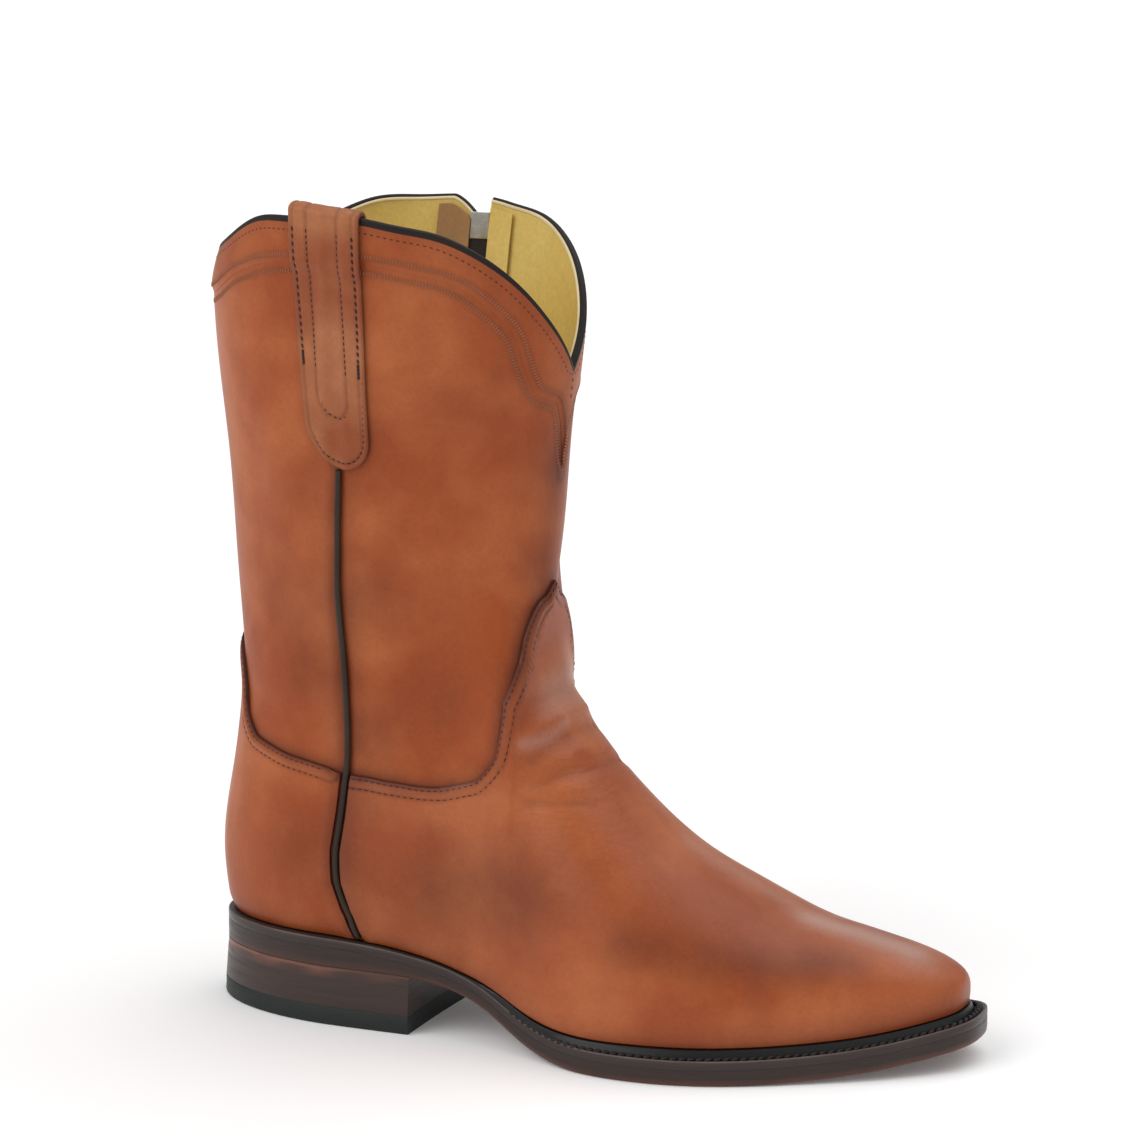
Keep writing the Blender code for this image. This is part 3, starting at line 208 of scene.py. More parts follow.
def bare_point(turn, rise):
    """A point of the bare last in mm.

    In side view a level is a chord from the back profile to the front profile, at the share
    (1 - cos turn) / 2. The half width is the station's times (1 - g ** p) ** (1 / p), where g runs
    from 0 at the core to 1 at the front profile, rounded at heel and toe. Near the rim
    the back leans in by slope * t ** 3 / (t * t + softness ** 2), t above the level it starts at.
    """
    forward = (1.0 - np.cos(turn)) / 2.0
    back_foot_z = feather_z(station(SHAFT_LEVELS, 1, 35.0))
    back_z = back_foot_z + (BACK_TOP_Z - back_foot_z) * rise
    run_foot = np.interp(feather_z(TOE_TIP_X), FRONT_Z, FRONT_RUN)
    run = run_foot + (np.interp(FRONT_TOP_Z, FRONT_Z, FRONT_RUN) - run_foot) * rise
    start_x = station(SHAFT_LEVELS, 1, back_z)
    x = start_x + (np.interp(run, FRONT_RUN, FRONT_X) - start_x) * forward
    z = back_z + (np.interp(run, FRONT_RUN, FRONT_Z) - back_z) * forward
    heel_x = station(SHAFT_LEVELS, 1, back_foot_z)
    foot_x = heel_x + (TOE_TIP_X - heel_x) * forward
    foot_z = back_foot_z + (feather_z(TOE_TIP_X) - back_foot_z) * forward
    z = z + (feather_z(foot_x) - foot_z) * (1.0 - rise) ** 4
    above = np.maximum(z - LEAN[0], 0.0)
    lean = LEAN[1] * above ** 3 / (above ** 2 + LEAN[2] ** 2)
    x = x + lean * (1.0 - forward) ** LEAN[3]

    side = -np.sin(turn)
    foot = np.where(side < 0.0, station(FOOT_STATIONS, 2, x), station(FOOT_STATIONS, 3, x))
    to_foot = ramp(*WIDTH_BLEND_X, x) * ramp(*WIDTH_BLEND_Z, z)
    width = (1.0 - to_foot) * station(SHAFT_LEVELS, 2, z) + to_foot * foot
    back = station(SHAFT_LEVELS, 1, z) + lean
    front = np.interp(z, FRONT_Z, FRONT_X)
    middle = (back + front) / 2.0
    over = np.interp(x, FRONT_X[1:THROAT + 1][::-1], FRONT_Z[1:THROAT + 1][::-1])
    crest = np.where(x < FRONT_X[THROAT], FRONT_Z[THROAT] + (FRONT_X[THROAT] - x) * 6.0, over)
    core = np.minimum(feather_z(x) + CORE_ABOVE_FEATHER, crest - 1.0)
    section = ramp(*SECTION_BLEND_X, x) * ramp(*SECTION_BLEND_Z, z)
    g = (1.0 - section) * np.clip((x - middle) / (front - middle), 0.0, 1.0)
    g = g + section * np.clip((z - core) / (crest - core), 0.0, 1.0)
    power = SHAFT_POWER + (FOOT_POWER - SHAFT_POWER) * section
    width = width * (1.0 - g ** power) ** (1.0 / power)
    heel = np.clip(1.0 - (x - back) / np.minimum(middle - back, HEEL_ROUND_MAX), 0.0, 1.0)
    toe = np.clip((x - TOE_PLAN_START_X) / (TOE_TIP_X - TOE_PLAN_START_X), 0.0, 1.0)
    width = width * np.sqrt(1.0 - heel ** 2) * (1.0 - toe ** TOE_PLAN_POWER) ** (1.0 / TOE_PLAN_POWER)
    width = np.where(np.abs(side) < 1e-9, 0.0, width)
    centre = (1.0 - to_foot) * station(SHAFT_LEVELS, 3, z) + to_foot * station(FOOT_STATIONS, 1, x)
    return np.stack((x, centre + np.sign(side) * width, z), axis=-1)


def last_frame(turn, rise):
    """The point, its outward normal from differences both ways, and its speed in mm per radian."""
    low = np.clip(rise - 0.004, 0.0, 1.0)
    high = np.clip(rise + 0.004, 0.0, 1.0)
    round_way = bare_point(turn + 0.02, rise) - bare_point(turn - 0.02, rise)
    normal = np.cross(round_way, bare_point(turn, high) - bare_point(turn, low))
    normal /= np.linalg.norm(normal, axis=-1, keepdims=True)
    return bare_point(turn, rise), normal, np.linalg.norm(round_way, axis=-1) / 0.04


def nearest(points, path):
    """Each point's distance to the nearest of a dense path's points, from squared lengths."""
    flat = points.reshape(-1, 3)
    path_square = (path ** 2).sum(axis=1)
    found = []
    for part in np.array_split(flat, max(1, len(flat) // POINTS_AT_ONCE)):
        square = (part ** 2).sum(axis=1)[:, None] + path_square - 2.0 * part @ path.T
        found.append(np.sqrt(np.maximum(square.min(axis=1), 0.0)))
    return np.concatenate(found).reshape(points.shape[:-1])


def smooth_path(turn_rise, spacing=0.5):
    """A path on the bare last through points of turn in degrees and rise, its points evenly spaced."""
    knots = np.asarray(turn_rise, dtype=float)
    at = np.linspace(0.0, len(knots) - 1.0, 400)
    turn = np.radians(natural_spline(np.arange(len(knots)), knots[:, 0], at))
    rise = natural_spline(np.arange(len(knots)), knots[:, 1], at)
    path = bare_point(turn, rise)
    length = np.concatenate(([0.0], np.cumsum(np.linalg.norm(np.diff(path, axis=0), axis=1))))
    even = np.linspace(0.0, length[-1], max(8, int(length[-1] / spacing)))
    return np.stack([np.interp(even, length, path[:, k]) for k in range(3)], axis=1)


FOLD_PATHS = [(depth, width, smooth_path(knots, 1.0)) for depth, width, knots in FOLDS]
SEAM_RISE = np.linspace(0.0, 1.0, 500)
PIPING_PATH = bare_point(np.radians(np.interp(SEAM_RISE, *PIPING_LINE.T)), SEAM_RISE)
ZIP_PATH = bare_point(np.radians(np.interp(SEAM_RISE, *ZIP_LINE.T)), SEAM_RISE)


def relief(points):
    """How far folds and puffed seams lift the leather in mm.

    A fold is depth * exp(-(distance / width) ** 2), faded out at both ends. A puffed seam is the same
    bell some way beside the seam, and the shaft's waves are a product of two sines.
    """
    lift = np.zeros(points.shape[:-1])
    for depth, width, path in FOLD_PATHS:
        near = nearest(points, path)
        ends = np.minimum(nearest(points, path[:1]), nearest(points, path[-1:]))
        lift += depth * np.exp(-(near / width) ** 2) * ramp(0.0, 4.0 * width, ends + width)
    for path, (height, away, width) in ((PIPING_PATH, PIPING_PUFF), (ZIP_PATH, ZIP_PUFF)):
        lift += height * np.exp(-((nearest(points, path) - away) / width) ** 2)
    x, z = points[..., 0], points[..., 2]
    wave = np.sin(z / 23.0 + x / 31.0) * np.sin(x / 19.0 - 1.0)
    return lift + WAVE_HEIGHT * wave * ramp(*WAVE_START, z) * ramp(*WAVE_END, z)


def skin(turn, rise, out):
    """Points out mm outside the last with the leather's folds, tucked in at the feather edge."""
    turn, rise, out = np.broadcast_arrays(turn, rise, out)
    point, normal, _ = last_frame(turn, rise)
    above = point[..., 2] - feather_z(point[..., 0])
    tuck = TUCK_DEPTH * np.clip(1.0 - above / TUCK_HEIGHT, 0.0, 1.0) ** 2
    flat = normal.copy()
    flat[..., 2] *= ramp(0.0, 12.0, above)
    flat /= np.linalg.norm(flat, axis=-1, keepdims=True)
    return point + flat * (out - tuck + relief(point))[..., None]


def smoothed(line):
    """A line's table made dense and softened by a bell curve 1.2 degrees wide, mirrored at both ends."""
    turn = np.arange(line[0, 0], line[-1, 0] + 0.1, 0.25)
    rise = np.interp(turn, line[:, 0], line[:, 1])
    reach = 24
    bell = np.exp(-(np.arange(-reach, reach + 1) * 0.25 / 1.2) ** 2)
    padded = np.concatenate((2.0 * rise[0] - rise[reach:0:-1], rise, rise[-2:-reach - 2:-1]))
    return np.column_stack((turn, np.convolve(padded, bell / bell.sum(), mode="valid")))


COLLAR, VAMP, COUNTER = (smoothed(line) for line in (COLLAR_LINE, VAMP_LINE, COUNTER_LINE))
RIM_TURNS = np.arange(0.0, 180.1, 0.25)
RIM = np.column_stack((RIM_TURNS, natural_spline(RIM_LINE[:, 0], RIM_LINE[:, 1], RIM_TURNS)))
# the zip's slot ends in a cut-away corner on its heel side: turns it runs between, and how far it drops
ZIP_CORNER = (272.5, 265.0, 0.020)


def line_rise(line, turn):
    """The rise of a line at a turn, the same on both sides of the boot."""
    folded = np.degrees(np.abs((turn + math.pi) % (2.0 * math.pi) - math.pi))
    rise = np.interp(folded, line[:, 0], line[:, 1])
    if line is not RIM:
        return rise
    whole = np.degrees(turn % (2.0 * math.pi))
    corner = np.clip((ZIP_CORNER[0] - whole) / (ZIP_CORNER[0] - ZIP_CORNER[1]), 0.0, 1.0)
    return rise - ZIP_CORNER[2] * corner ** 1.3 * (whole > 262.0)


def beside(line, side, clear):
    """A seam as a function of rise, clear mm beside a line, side +1 towards greater turns."""
    def seam(rise):
        middle = np.radians(np.interp(rise, line[:, 0], line[:, 1]))
        return middle + side * clear / last_frame(middle, rise)[2]
    return seam


def finish_mesh(name, points, faces, materials, face_material=None, sharp=40.0, marks=None):
    """A mesh object from points in mm, smooth but for edges sharper than an angle, with its masks."""
    mesh = bpy.data.meshes.new(name)
    mesh.from_pydata((np.asarray(points) * MM).tolist(), [], [list(f) for f in faces])
    for item in materials:
        mesh.materials.append(item)
    if face_material is not None:
        mesh.polygons.foreach_set("material_index", np.asarray(face_material, dtype=np.int32))
    mesh.shade_smooth()
    mesh.set_sharp_from_angle(angle=math.radians(sharp))
    for mark, values in (marks or {}).items():
        layer = mesh.attributes.new(mark, "FLOAT", "POINT")
        layer.data.foreach_set("value", np.asarray(values, dtype=np.float32).ravel())
    mesh.update()
    made = bpy.data.objects.new(name, mesh)
    bpy.context.scene.collection.objects.link(made)
    return made


def shell_faces(keep, wrap):
    """Faces of a wall between two grids, with an edge face wherever a kept cell has no neighbour."""
    rows, cells = keep.shape
    columns = cells if wrap else cells + 1
    r, c = np.nonzero(keep)
    d = (c + 1) % columns
    inner = (rows + 1) * columns
    a0, a1, b0, b1 = r * columns + c, r * columns + d, (r + 1) * columns + c, (r + 1) * columns + d
    padded = np.zeros((rows + 2, cells + 2), dtype=bool)
    padded[1:-1, 1:-1] = keep
    if wrap:
        padded[1:-1, 0] = keep[:, -1]
        padded[1:-1, -1] = keep[:, 0]
    below, above = ~padded[r, c + 1], ~padded[r + 2, c + 1]
    left, right = ~padded[r + 1, c], ~padded[r + 1, c + 2]
    outside = np.stack((a0, a1, b1, b0), axis=1)
    inside = inner + np.stack((b0, b1, a1, a0), axis=1)
    edges = np.vstack((
        np.stack((a1, a0, inner + a0, inner + a1), axis=1)[below],
        np.stack((b0, b1, inner + b1, inner + b0), axis=1)[above],
        np.stack((a0, b0, inner + b0, inner + a0), axis=1)[left],
        np.stack((b1, a1, inner + a1, inner + b1), axis=1)[right]))
    return outside, inside, edges


def nodes_of(tree):
    """Short ways to add a node and to join two sockets in a tree."""
    def add(kind, **settings):
        made = tree.nodes.new(kind)
        for key, value in settings.items():
            if key in made.bl_rna.properties:
                setattr(made, key, value)
            else:
                made.inputs[key.replace("_", " ")].default_value = value
        return made
    return add, tree.links.new


# the grey of a painted sheen: a highlight mixed into the leather's colour where glossy leather catches the
# light
PAINTED_SHEEN_GREY = (0.46, 0.31, 0.26, 1.0)


def patina_group():
    """Leather's face: blotches, burnish and painted shade mix three browns, pores and wrinkles give a height.

    colour = mix(mix(base, light, cloud noise + pale mask), dark, darkening mask + patch noise), then mixed
    to a grey by the painted-sheen mask and multiplied by a fine speckle. The darkening mask holds burnish and
    painted shade, the pale mask paler leather and painted highlights, and the sheen mask a painted highlight.
    height = pores + wrinkle mask times stretched noise.
    """
    group = bpy.data.node_groups.new("leather_patina", "ShaderNodeTree")
    face = group.interface
    for label, kind, start in (("Base", "NodeSocketColor", (0.4, 0.13, 0.05, 1.0)),
                               ("Light", "NodeSocketColor", (0.5, 0.19, 0.08, 1.0)),
                               ("Dark", "NodeSocketColor", (0.16, 0.045, 0.02, 1.0)),
                               ("Gloss", "NodeSocketFloat", 0.42), ("Blotch", "NodeSocketFloat", 1.0)):
        face.new_socket(label, in_out="INPUT", socket_type=kind).default_value = start
    for label, kind in (("Color", "NodeSocketColor"), ("Roughness", "NodeSocketFloat"),
                        ("Height", "NodeSocketFloat")):
        face.new_socket(label, in_out="OUTPUT", socket_type=kind)
    add, join = nodes_of(group)
    given, result = add("NodeGroupInput"), add("NodeGroupOutput")
    where = add("ShaderNodeTexCoord").outputs["Object"]
    # masks read from the mesh: darkening, which is burnish and painted shade; pale, which is paler leather
    # and painted highlights; wrinkle; and a painted grey sheen
    burnish_and_shade = add("ShaderNodeAttribute", attribute_name="burnish_and_shade")
    pale = add("ShaderNodeAttribute", attribute_name="pale")
    wrinkle = add("ShaderNodeAttribute", attribute_name="wrinkle")
    painted_sheen = add("ShaderNodeAttribute", attribute_name="painted_sheen")

    def noise(scale, detail, rough, place=where):
        made = add("ShaderNodeTexNoise", Scale=scale, Detail=detail, Roughness=rough)
        join(place, made.inputs["Vector"])
        return made.outputs["Fac"]

    def maths(kind, a, b):
        made = add("ShaderNodeMath", operation=kind)
        for number, value in enumerate((a, b)):
            if isinstance(value, (int, float)):
                made.inputs[number].default_value = value
            else:
                join(value, made.inputs[number])
        return made.outputs[0]

    def spread(value, low, high, to_low=0.0, to_high=1.0):
        made = add("ShaderNodeMapRange")
        join(value, made.inputs["Value"])
        for label, number in (("From Min", low), ("From Max", high), ("To Min", to_low), ("To Max", to_high)):
            made.inputs[label].default_value = number
        return made.outputs["Result"]

    def blend(share, a, b):
        made = add("ShaderNodeMix", data_type="RGBA")
        for socket, value in ((made.inputs[0], share), (made.inputs[6], a), (made.inputs[7], b)):
            if isinstance(value, tuple):
                socket.default_value = value
            else:
                join(value, socket)
        return made.outputs[2]

    cloud = noise(22.0, 3.0, 0.55)
    streak = add("ShaderNodeMapping")
    streak.inputs["Scale"].default_value = (1.0, 1.0, 0.35)
    join(where, streak.inputs["Vector"])
    patch = noise(75.0, 4.0, 0.6, streak.outputs["Vector"])
    light_share = maths("MULTIPLY", spread(cloud, 0.42, 0.66), given.outputs["Blotch"])
    light_share = maths("ADD", light_share, pale.outputs["Fac"])
    light_share = spread(maths("ADD", light_share, maths("MULTIPLY", patch, 0.3)), 0.12, 1.15)
    dark_share = maths("ADD", burnish_and_shade.outputs["Fac"], maths("MULTIPLY", spread(patch, 0.45, 0.75), 0.16))
    dark_share = maths("MULTIPLY", dark_share, spread(cloud, 0.25, 0.7, 1.15, 0.7))
    dark_share = spread(dark_share, 0.02, 1.0)
    colour = blend(dark_share, blend(light_share, given.outputs["Base"], given.outputs["Light"]),
                   given.outputs["Dark"])
    # painted sheen: a grey highlight mixed into the colour
    colour = blend(painted_sheen.outputs["Fac"], colour, PAINTED_SHEEN_GREY)
    speckle = spread(noise(620.0, 3.0, 0.6), 0.3, 0.7, 0.93, 1.06)
    tone = add("ShaderNodeHueSaturation", Saturation=1.0, Fac=1.0)
    join(colour, tone.inputs["Color"])
    join(speckle, tone.inputs["Value"])
    join(tone.outputs["Color"], result.inputs["Color"])
    gloss = maths("ADD", given.outputs["Gloss"], spread(patch, 0.3, 0.75, -0.05, 0.07))
    join(gloss, result.inputs["Roughness"])
    pores = add("ShaderNodeTexVoronoi", Scale=1050.0, feature="SMOOTH_F1")
    join(where, pores.inputs["Vector"])
    grain = maths("ADD", maths("MULTIPLY", pores.outputs["Distance"], 0.5),
                  maths("MULTIPLY", noise(1700.0, 3.0, 0.6), 0.5))
    lie = add("ShaderNodeMapping")
    lie.inputs["Rotation"].default_value = (0.0, 0.7, 0.0)
    lie.inputs["Scale"].default_value = (120.0, 90.0, 420.0)
    join(where, lie.inputs["Vector"])
    ripple = maths("MULTIPLY", noise(1.0, 4.0, 0.55, lie.outputs["Vector"]), wrinkle.outputs["Fac"])
    join(maths("ADD", maths("MULTIPLY", grain, 0.14), ripple), result.inputs["Height"])
    return group


PATINA = patina_group()


def shader_of(name):
    """A new material and its Principled shader."""
    made = bpy.data.materials.new(name)
    made.use_nodes = True
    return made, made.node_tree.nodes["Principled BSDF"]


def leather(name, base, light, dark, gloss=0.44, blotch=1.0, bump=0.5, coat=0.03, shine=0.2):
    """A leather finish that places the patina group and keeps its own shader."""
    made, shader = shader_of(name)
    add, join = nodes_of(made.node_tree)
    patina = add("ShaderNodeGroup", node_tree=PATINA)
    given = {"Base": base, "Light": light, "Dark": dark, "Gloss": gloss, "Blotch": blotch}
    for label, value in given.items():
        patina.inputs[label].default_value = value
    relief_node = add("ShaderNodeBump", Strength=bump, Distance=0.0009)
    join(patina.outputs["Color"], shader.inputs["Base Color"])
    join(patina.outputs["Roughness"], shader.inputs["Roughness"])
    join(patina.outputs["Height"], relief_node.inputs["Height"])
    join(relief_node.outputs["Normal"], shader.inputs["Normal"])
    shader.inputs["Coat Weight"].default_value = coat
    shader.inputs["Coat Roughness"].default_value = 0.38
    shader.inputs["Specular IOR Level"].default_value = shine
    return made


COGNAC = (0.298, 0.058, 0.0115, 1.0)
COGNAC_LIGHT = (0.40, 0.107, 0.031, 1.0)
COGNAC_DARK = (0.105, 0.020, 0.006, 1.0)
shaft_leather = leather("shaft_leather", COGNAC, COGNAC_LIGHT, COGNAC_DARK)
lining_leather = leather("lining_leather", (0.74, 0.54, 0.15, 1.0), (0.80, 0.62, 0.22, 1.0),
                         (0.40, 0.25, 0.06, 1.0), gloss=0.62, blotch=0.7, bump=0.35, coat=0.0)
raw_edge = leather("raw_edge", (0.15, 0.04, 0.02, 1.0), (0.19, 0.06, 0.03, 1.0), (0.06, 0.018, 0.012, 1.0),
                   gloss=0.7, coat=0.0)

FULL_TURN = np.radians(np.linspace(0.0, 360.0, 1500))
RIM_PATH = bare_point(FULL_TURN, line_rise(RIM, FULL_TURN))
COLLAR_PATH = bare_point(FULL_TURN, line_rise(COLLAR, FULL_TURN))
FOOT_PATH = bare_point(FULL_TURN, 0.0 * FULL_TURN)
SIDE_TURN = np.radians(np.linspace(66.0, 294.0, 1400))
VAMP_PATH = bare_point(SIDE_TURN, line_rise(VAMP, SIDE_TURN))
BACK_TURN = np.radians(np.linspace(-62.0, 62.0, 700))
COUNTER_PATH = bare_point(BACK_TURN, line_rise(COUNTER, BACK_TURN))
# darker and paler places: amount (pale is below 0), radius in mm, turn in degrees and rise of its middle
CLOUDS = [
    # down the shaft: orange along the back edge, a painted highlight, and along the front; brown in the
    # middle;
    # darker beside the piping and down the front edge, painted shade, and in front of the strap, its painted
    # shadow
    (-0.45, 24.0, 38.0, 0.80), (-0.40, 24.0, 40.0, 0.62), (0.35, 12.0, 62.0, 0.40),
    (0.30, 14.0, 76.0, 0.36), (0.30, 20.0, 66.0, 0.50), (0.32, 16.0, 98.0, 0.56),
    (0.24, 18.0, 106.0, 0.47), (0.20, 20.0, 80.0, 0.66), (0.26, 14.0, 98.0, 0.76),
    (0.18, 18.0, 128.0, 0.80), (-0.40, 20.0, 124.0, 0.62), (-0.30, 26.0, 116.0, 0.87),
    (-0.30, 18.0, 76.0, 0.59), (0.45, 14.0, 172.0, 0.76), (0.30, 12.0, 168.0, 0.66),
    (0.30, 16.0, 178.0, 0.54),
    # over the counter: orange at the back, a painted highlight, brown towards the side seam
    (-0.45, 24.0, 26.0, 0.12), (0.34, 20.0, 52.0, 0.12),
    # over the vamp: pale on the wrinkled instep, a painted highlight, and on the ball, brown at the waist and
    # towards the toe
    (-0.60, 17.0, 138.0, 0.40), (-0.40, 16.0, 126.0, 0.36), (0.40, 22.0, 90.0, 0.18),
    (0.34, 18.0, 104.0, 0.20), (0.34, 18.0, 76.0, 0.10), (-0.30, 26.0, 122.0, 0.24),
    (-0.25, 16.0, 138.0, 0.03), (0.22, 18.0, 156.0, 0.17), (0.16, 20.0, 150.0, 0.25),
    # the medial side, which the photograph doesn't show
    (0.26, 24.0, 236.0, 0.22), (0.24, 26.0, 300.0, 0.50), (0.24, 28.0, 220.0, 0.66),
    (0.26, 22.0, 200.0, 0.12), (-0.25, 30.0, 250.0, 0.34), (-0.25, 30.0, 320.0, 0.70),
    (-0.40, 20.0, 212.0, 0.40), (0.30, 14.0, 206.0, 0.08),
]
# the same along lines: amount, half width in mm, turns and rises of the line's points
SWEEPS = [
    # the toe's dark crescent and the paler leather below it
    (0.44, 8.5, [(118.0, 0.150), (127.0, 0.138), (136.0, 0.120), (146.0, 0.108), (156.0, 0.104)]),
    (-0.55, 8.0, [(134.0, 0.045), (146.0, 0.040), (158.0, 0.038), (170.0, 0.040)]),
    # pale strips under the seams of vamp and counter
    (-0.60, 6.0, [(70.0, 0.250), (80.0, 0.262), (94.0, 0.298), (106.0, 0.325), (114.0, 0.352)]),
    (-0.55, 6.0, [(27.0, 0.245), (40.0, 0.236), (57.0, 0.240)]),
    # dark down the shaft's front and beside the piping, painted shade, and a pale strip in front of the
    # piping
    (0.30, 7.0, [(160.0, 0.560), (168.0, 0.600), (172.0, 0.660), (176.0, 0.760), (176.0, 0.830)]),
    (0.30, 9.0, [(60.0, 0.050), (61.0, 0.130), (64.0, 0.200), (68.0, 0.240)]),
    (0.28, 8.0, [(72.0, 0.330), (76.0, 0.420), (84.0, 0.540)]),
    (-0.35, 5.0, [(92.0, 0.500), (95.0, 0.580), (98.0, 0.660)]),
]
# painted greyish sheen, a highlight on the toe's top, the instep and a fold's ridge: amount, radius in mm,
# and the two ends of its middle line
PAINTED_SHEENS = [
    (0.62, 8.5, (179.0, 0.090), (182.0, 0.190)), (0.30, 9.0, (170.0, 0.530), (192.0, 0.530)),
    (0.28, 2.6, (138.0, 0.460), (170.0, 0.502)), (0.22, 7.0, (186.0, 0.200), (186.0, 0.330)),
]
# wrinkled ground at the throat: radius in mm, turn in degrees and rise
WRINKLES = [(30.0, 150.0, 0.43), (26.0, 206.0, 0.43)]
SPREAD_FOLDS = 7


def sweep_path(knots):
    """A path through a sweep's points, by splines of turn and rise over the share of its length."""
    share = np.linspace(0.0, 1.0, 60)
    given = np.linspace(0.0, 1.0, len(knots))
    turns, rises = np.array(knots).T
    return bare_point(np.radians(natural_spline(given, turns, share)), natural_spline(given, rises, share))


def spot_path(turn, rise):
    """A path of one point."""
    return bare_point(np.array([math.radians(turn)]), np.array([rise]))


MARK_PATHS = [(amount, radius, spot_path(turn, rise)) for amount, radius, turn, rise in CLOUDS]
MARK_PATHS += [(amount, width, sweep_path(knots)) for amount, width, knots in SWEEPS]
PAINTED_SHEEN_PATHS = [(amount, radius, bare_point(np.radians(np.linspace(low[0], high[0], 30)),
                                           np.linspace(low[1], high[1], 30)))
               for amount, radius, low, high in PAINTED_SHEENS]


def leather_marks(points):
    """Masks on a leather piece: darkening (burnish and painted shade), pale (paler leather and painted
    highlights), wrinkle and a painted sheen, each a sum of bell curves exp(-(distance / width) ** 2) over the
    seams, edges, folds and charted places."""
    def band(path, width):
        return np.exp(-(nearest(points, path) / width) ** 2)
    burnish_and_shade = 0.6 * band(VAMP_PATH, 3.4) + 0.55 * band(COUNTER_PATH, 3.2)
    row = nearest(points, COLLAR_PATH)
    burnish_and_shade += 0.30 * np.exp(-((row - 3.1) / 1.3) ** 2) + 0.10 * np.exp(-(row / 6.0) ** 2)
    burnish_and_shade += 0.35 * band(PIPING_PATH, 4.5) + 0.25 * band(RIM_PATH, 5.0) + 0.45 * band(FOOT_PATH, 7.0)
    burnish_and_shade += 0.3 * band(ZIP_PATH, 6.0)
    pale = np.zeros(points.shape[:-1])
    for amount, radius, path in MARK_PATHS:
        if amount > 0.0:
            burnish_and_shade += amount * band(path, radius)
        else:
            pale -= amount * band(path, radius)
    # painted shade in the troughs of the spread folds, and a painted highlight on their ridges
    for depth, width, path in FOLD_PATHS[:SPREAD_FOLDS]:
        if depth < 0.0:
            burnish_and_shade += 0.24 * band(path, 0.8 * width)
        else:
            pale += 0.35 * band(path, 0.8 * width)
    wrinkle = 0.08 + sum(band(spot_path(turn, rise), radius) for radius, turn, rise in WRINKLES)
    # painted sheen: a grey highlight on the toe's top, the instep and a fold's ridge
    painted_sheen = np.zeros(points.shape[:-1])
    for amount, radius, path in PAINTED_SHEEN_PATHS:
        painted_sheen = np.maximum(painted_sheen, amount * band(path, radius))
    return {"burnish_and_shade": burnish_and_shade, "pale": pale, "wrinkle": wrinkle, "painted_sheen": painted_sheen}


def upper_sheet(rows, columns):
    """Turns and rises over the whole upper: rows share out the rise up to the rim, columns run round
    from the zip's heel edge to its toe edge. Each depends on the other, so they are found by repetition."""
    share = (np.linspace(0.0, 1.0, rows) ** 1.15)[:, None]
    across = np.linspace(0.0, 1.0, columns)[None, :]
    rise = 0.9 * share + 0.0 * across
    for _ in range(8):
        start = beside(ZIP_LINE, 1.0, ZIP_SLOT_WIDTH / 2.0)(rise[:, 0]) - 2.0 * math.pi
        end = beside(ZIP_LINE, -1.0, ZIP_SLOT_WIDTH / 2.0)(rise[:, -1])
        turn = start[:, None] + (end - start)[:, None] * across
        rise = line_rise(RIM, turn) * share
    return turn, rise


LINING_MARKS = 0.25
turn, rise = upper_sheet(UPPER_ROWS, UPPER_COLUMNS)
keep = np.ones((UPPER_ROWS - 1, UPPER_COLUMNS), dtype=bool)
keep[rise[:-1, -1] > ZIP_SLOT_FOOT_RISE, -1] = False
outside, inside, edges = shell_faces(keep, True)
outer = skin(turn, rise, BASE_OUT)
inner = skin(turn, rise, BASE_OUT - LEATHER_WALL)
kinds = np.concatenate((np.zeros(len(outside)), np.ones(len(inside)), np.full(len(edges), 2)))
marks = {key: np.concatenate((value.ravel(), LINING_MARKS * value.ravel()))
         for key, value in leather_marks(outer).items()}
upper = finish_mesh("upper_leather", np.vstack((outer.reshape(-1, 3), inner.reshape(-1, 3))),
                    np.vstack((outside, inside, edges)), [shaft_leather, lining_leather, raw_edge], kinds,
                    sharp=60.0, marks=marks)
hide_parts("upper")
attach(upper, "boot")

# --- sewn overlays: the vamp with its tongue, the heel counter and the collar band
# Each is a second layer of the same leather, skived and turned at its edge and sewn down with two rows,
# between which it stands up in a soft rib. The leather is darker beside the edges, painted shade where the
# edge turns down, and in the inner row's groove; the rib between the rows is painted paler, a highlight.
ZIP_PANEL_CLEAR = 2.0
PIPING_CLEAR = 2.1
WELT_LIP_X = (72.0, 100.0)
WELT_LIP_HEIGHT = 2.6
EDGE_ROUND = 0.9
EDGE_DROP = 0.62
RIB_AT = 2.9
RIB_WIDE = 1.3
RIB_HEIGHT = 0.35
STITCH_SINK = 0.22
EDGE_ROW = 1.3
INNER_ROW = 4.7


def lip_height(x):
    """The height of the welt's raised lip, which fades out under the arch."""
    return 0.2 + (WELT_LIP_HEIGHT - 0.2) * ramp(*WELT_LIP_X, x)


def foot_rise(turn):
    """The rise of the overlays' lower edge, just above the welt's lip."""
    low = bare_point(turn, 0.0 * turn)
    high = bare_point(turn, 0.0 * turn + 0.03)
    return 0.03 * (lip_height(low[..., 0]) + 0.3) / np.maximum(high[..., 2] - low[..., 2], 1.0)


def patch(left, right, low, high, columns, rows, closer=1.0):
    """Turns and rises of a grid between two seams of rise and two edges of turn, found by repetition."""
    across = np.linspace(0.0, 1.0, columns)[None, :]
    up = (np.linspace(0.0, 1.0, rows) ** closer)[:, None]
    rise = 0.2 + 0.0 * (across + up)
    for _ in range(14):
        turn = left(rise) + (right(rise) - left(rise)) * across
        rise = low(turn) + (high(turn) - low(turn)) * up
    return turn, rise


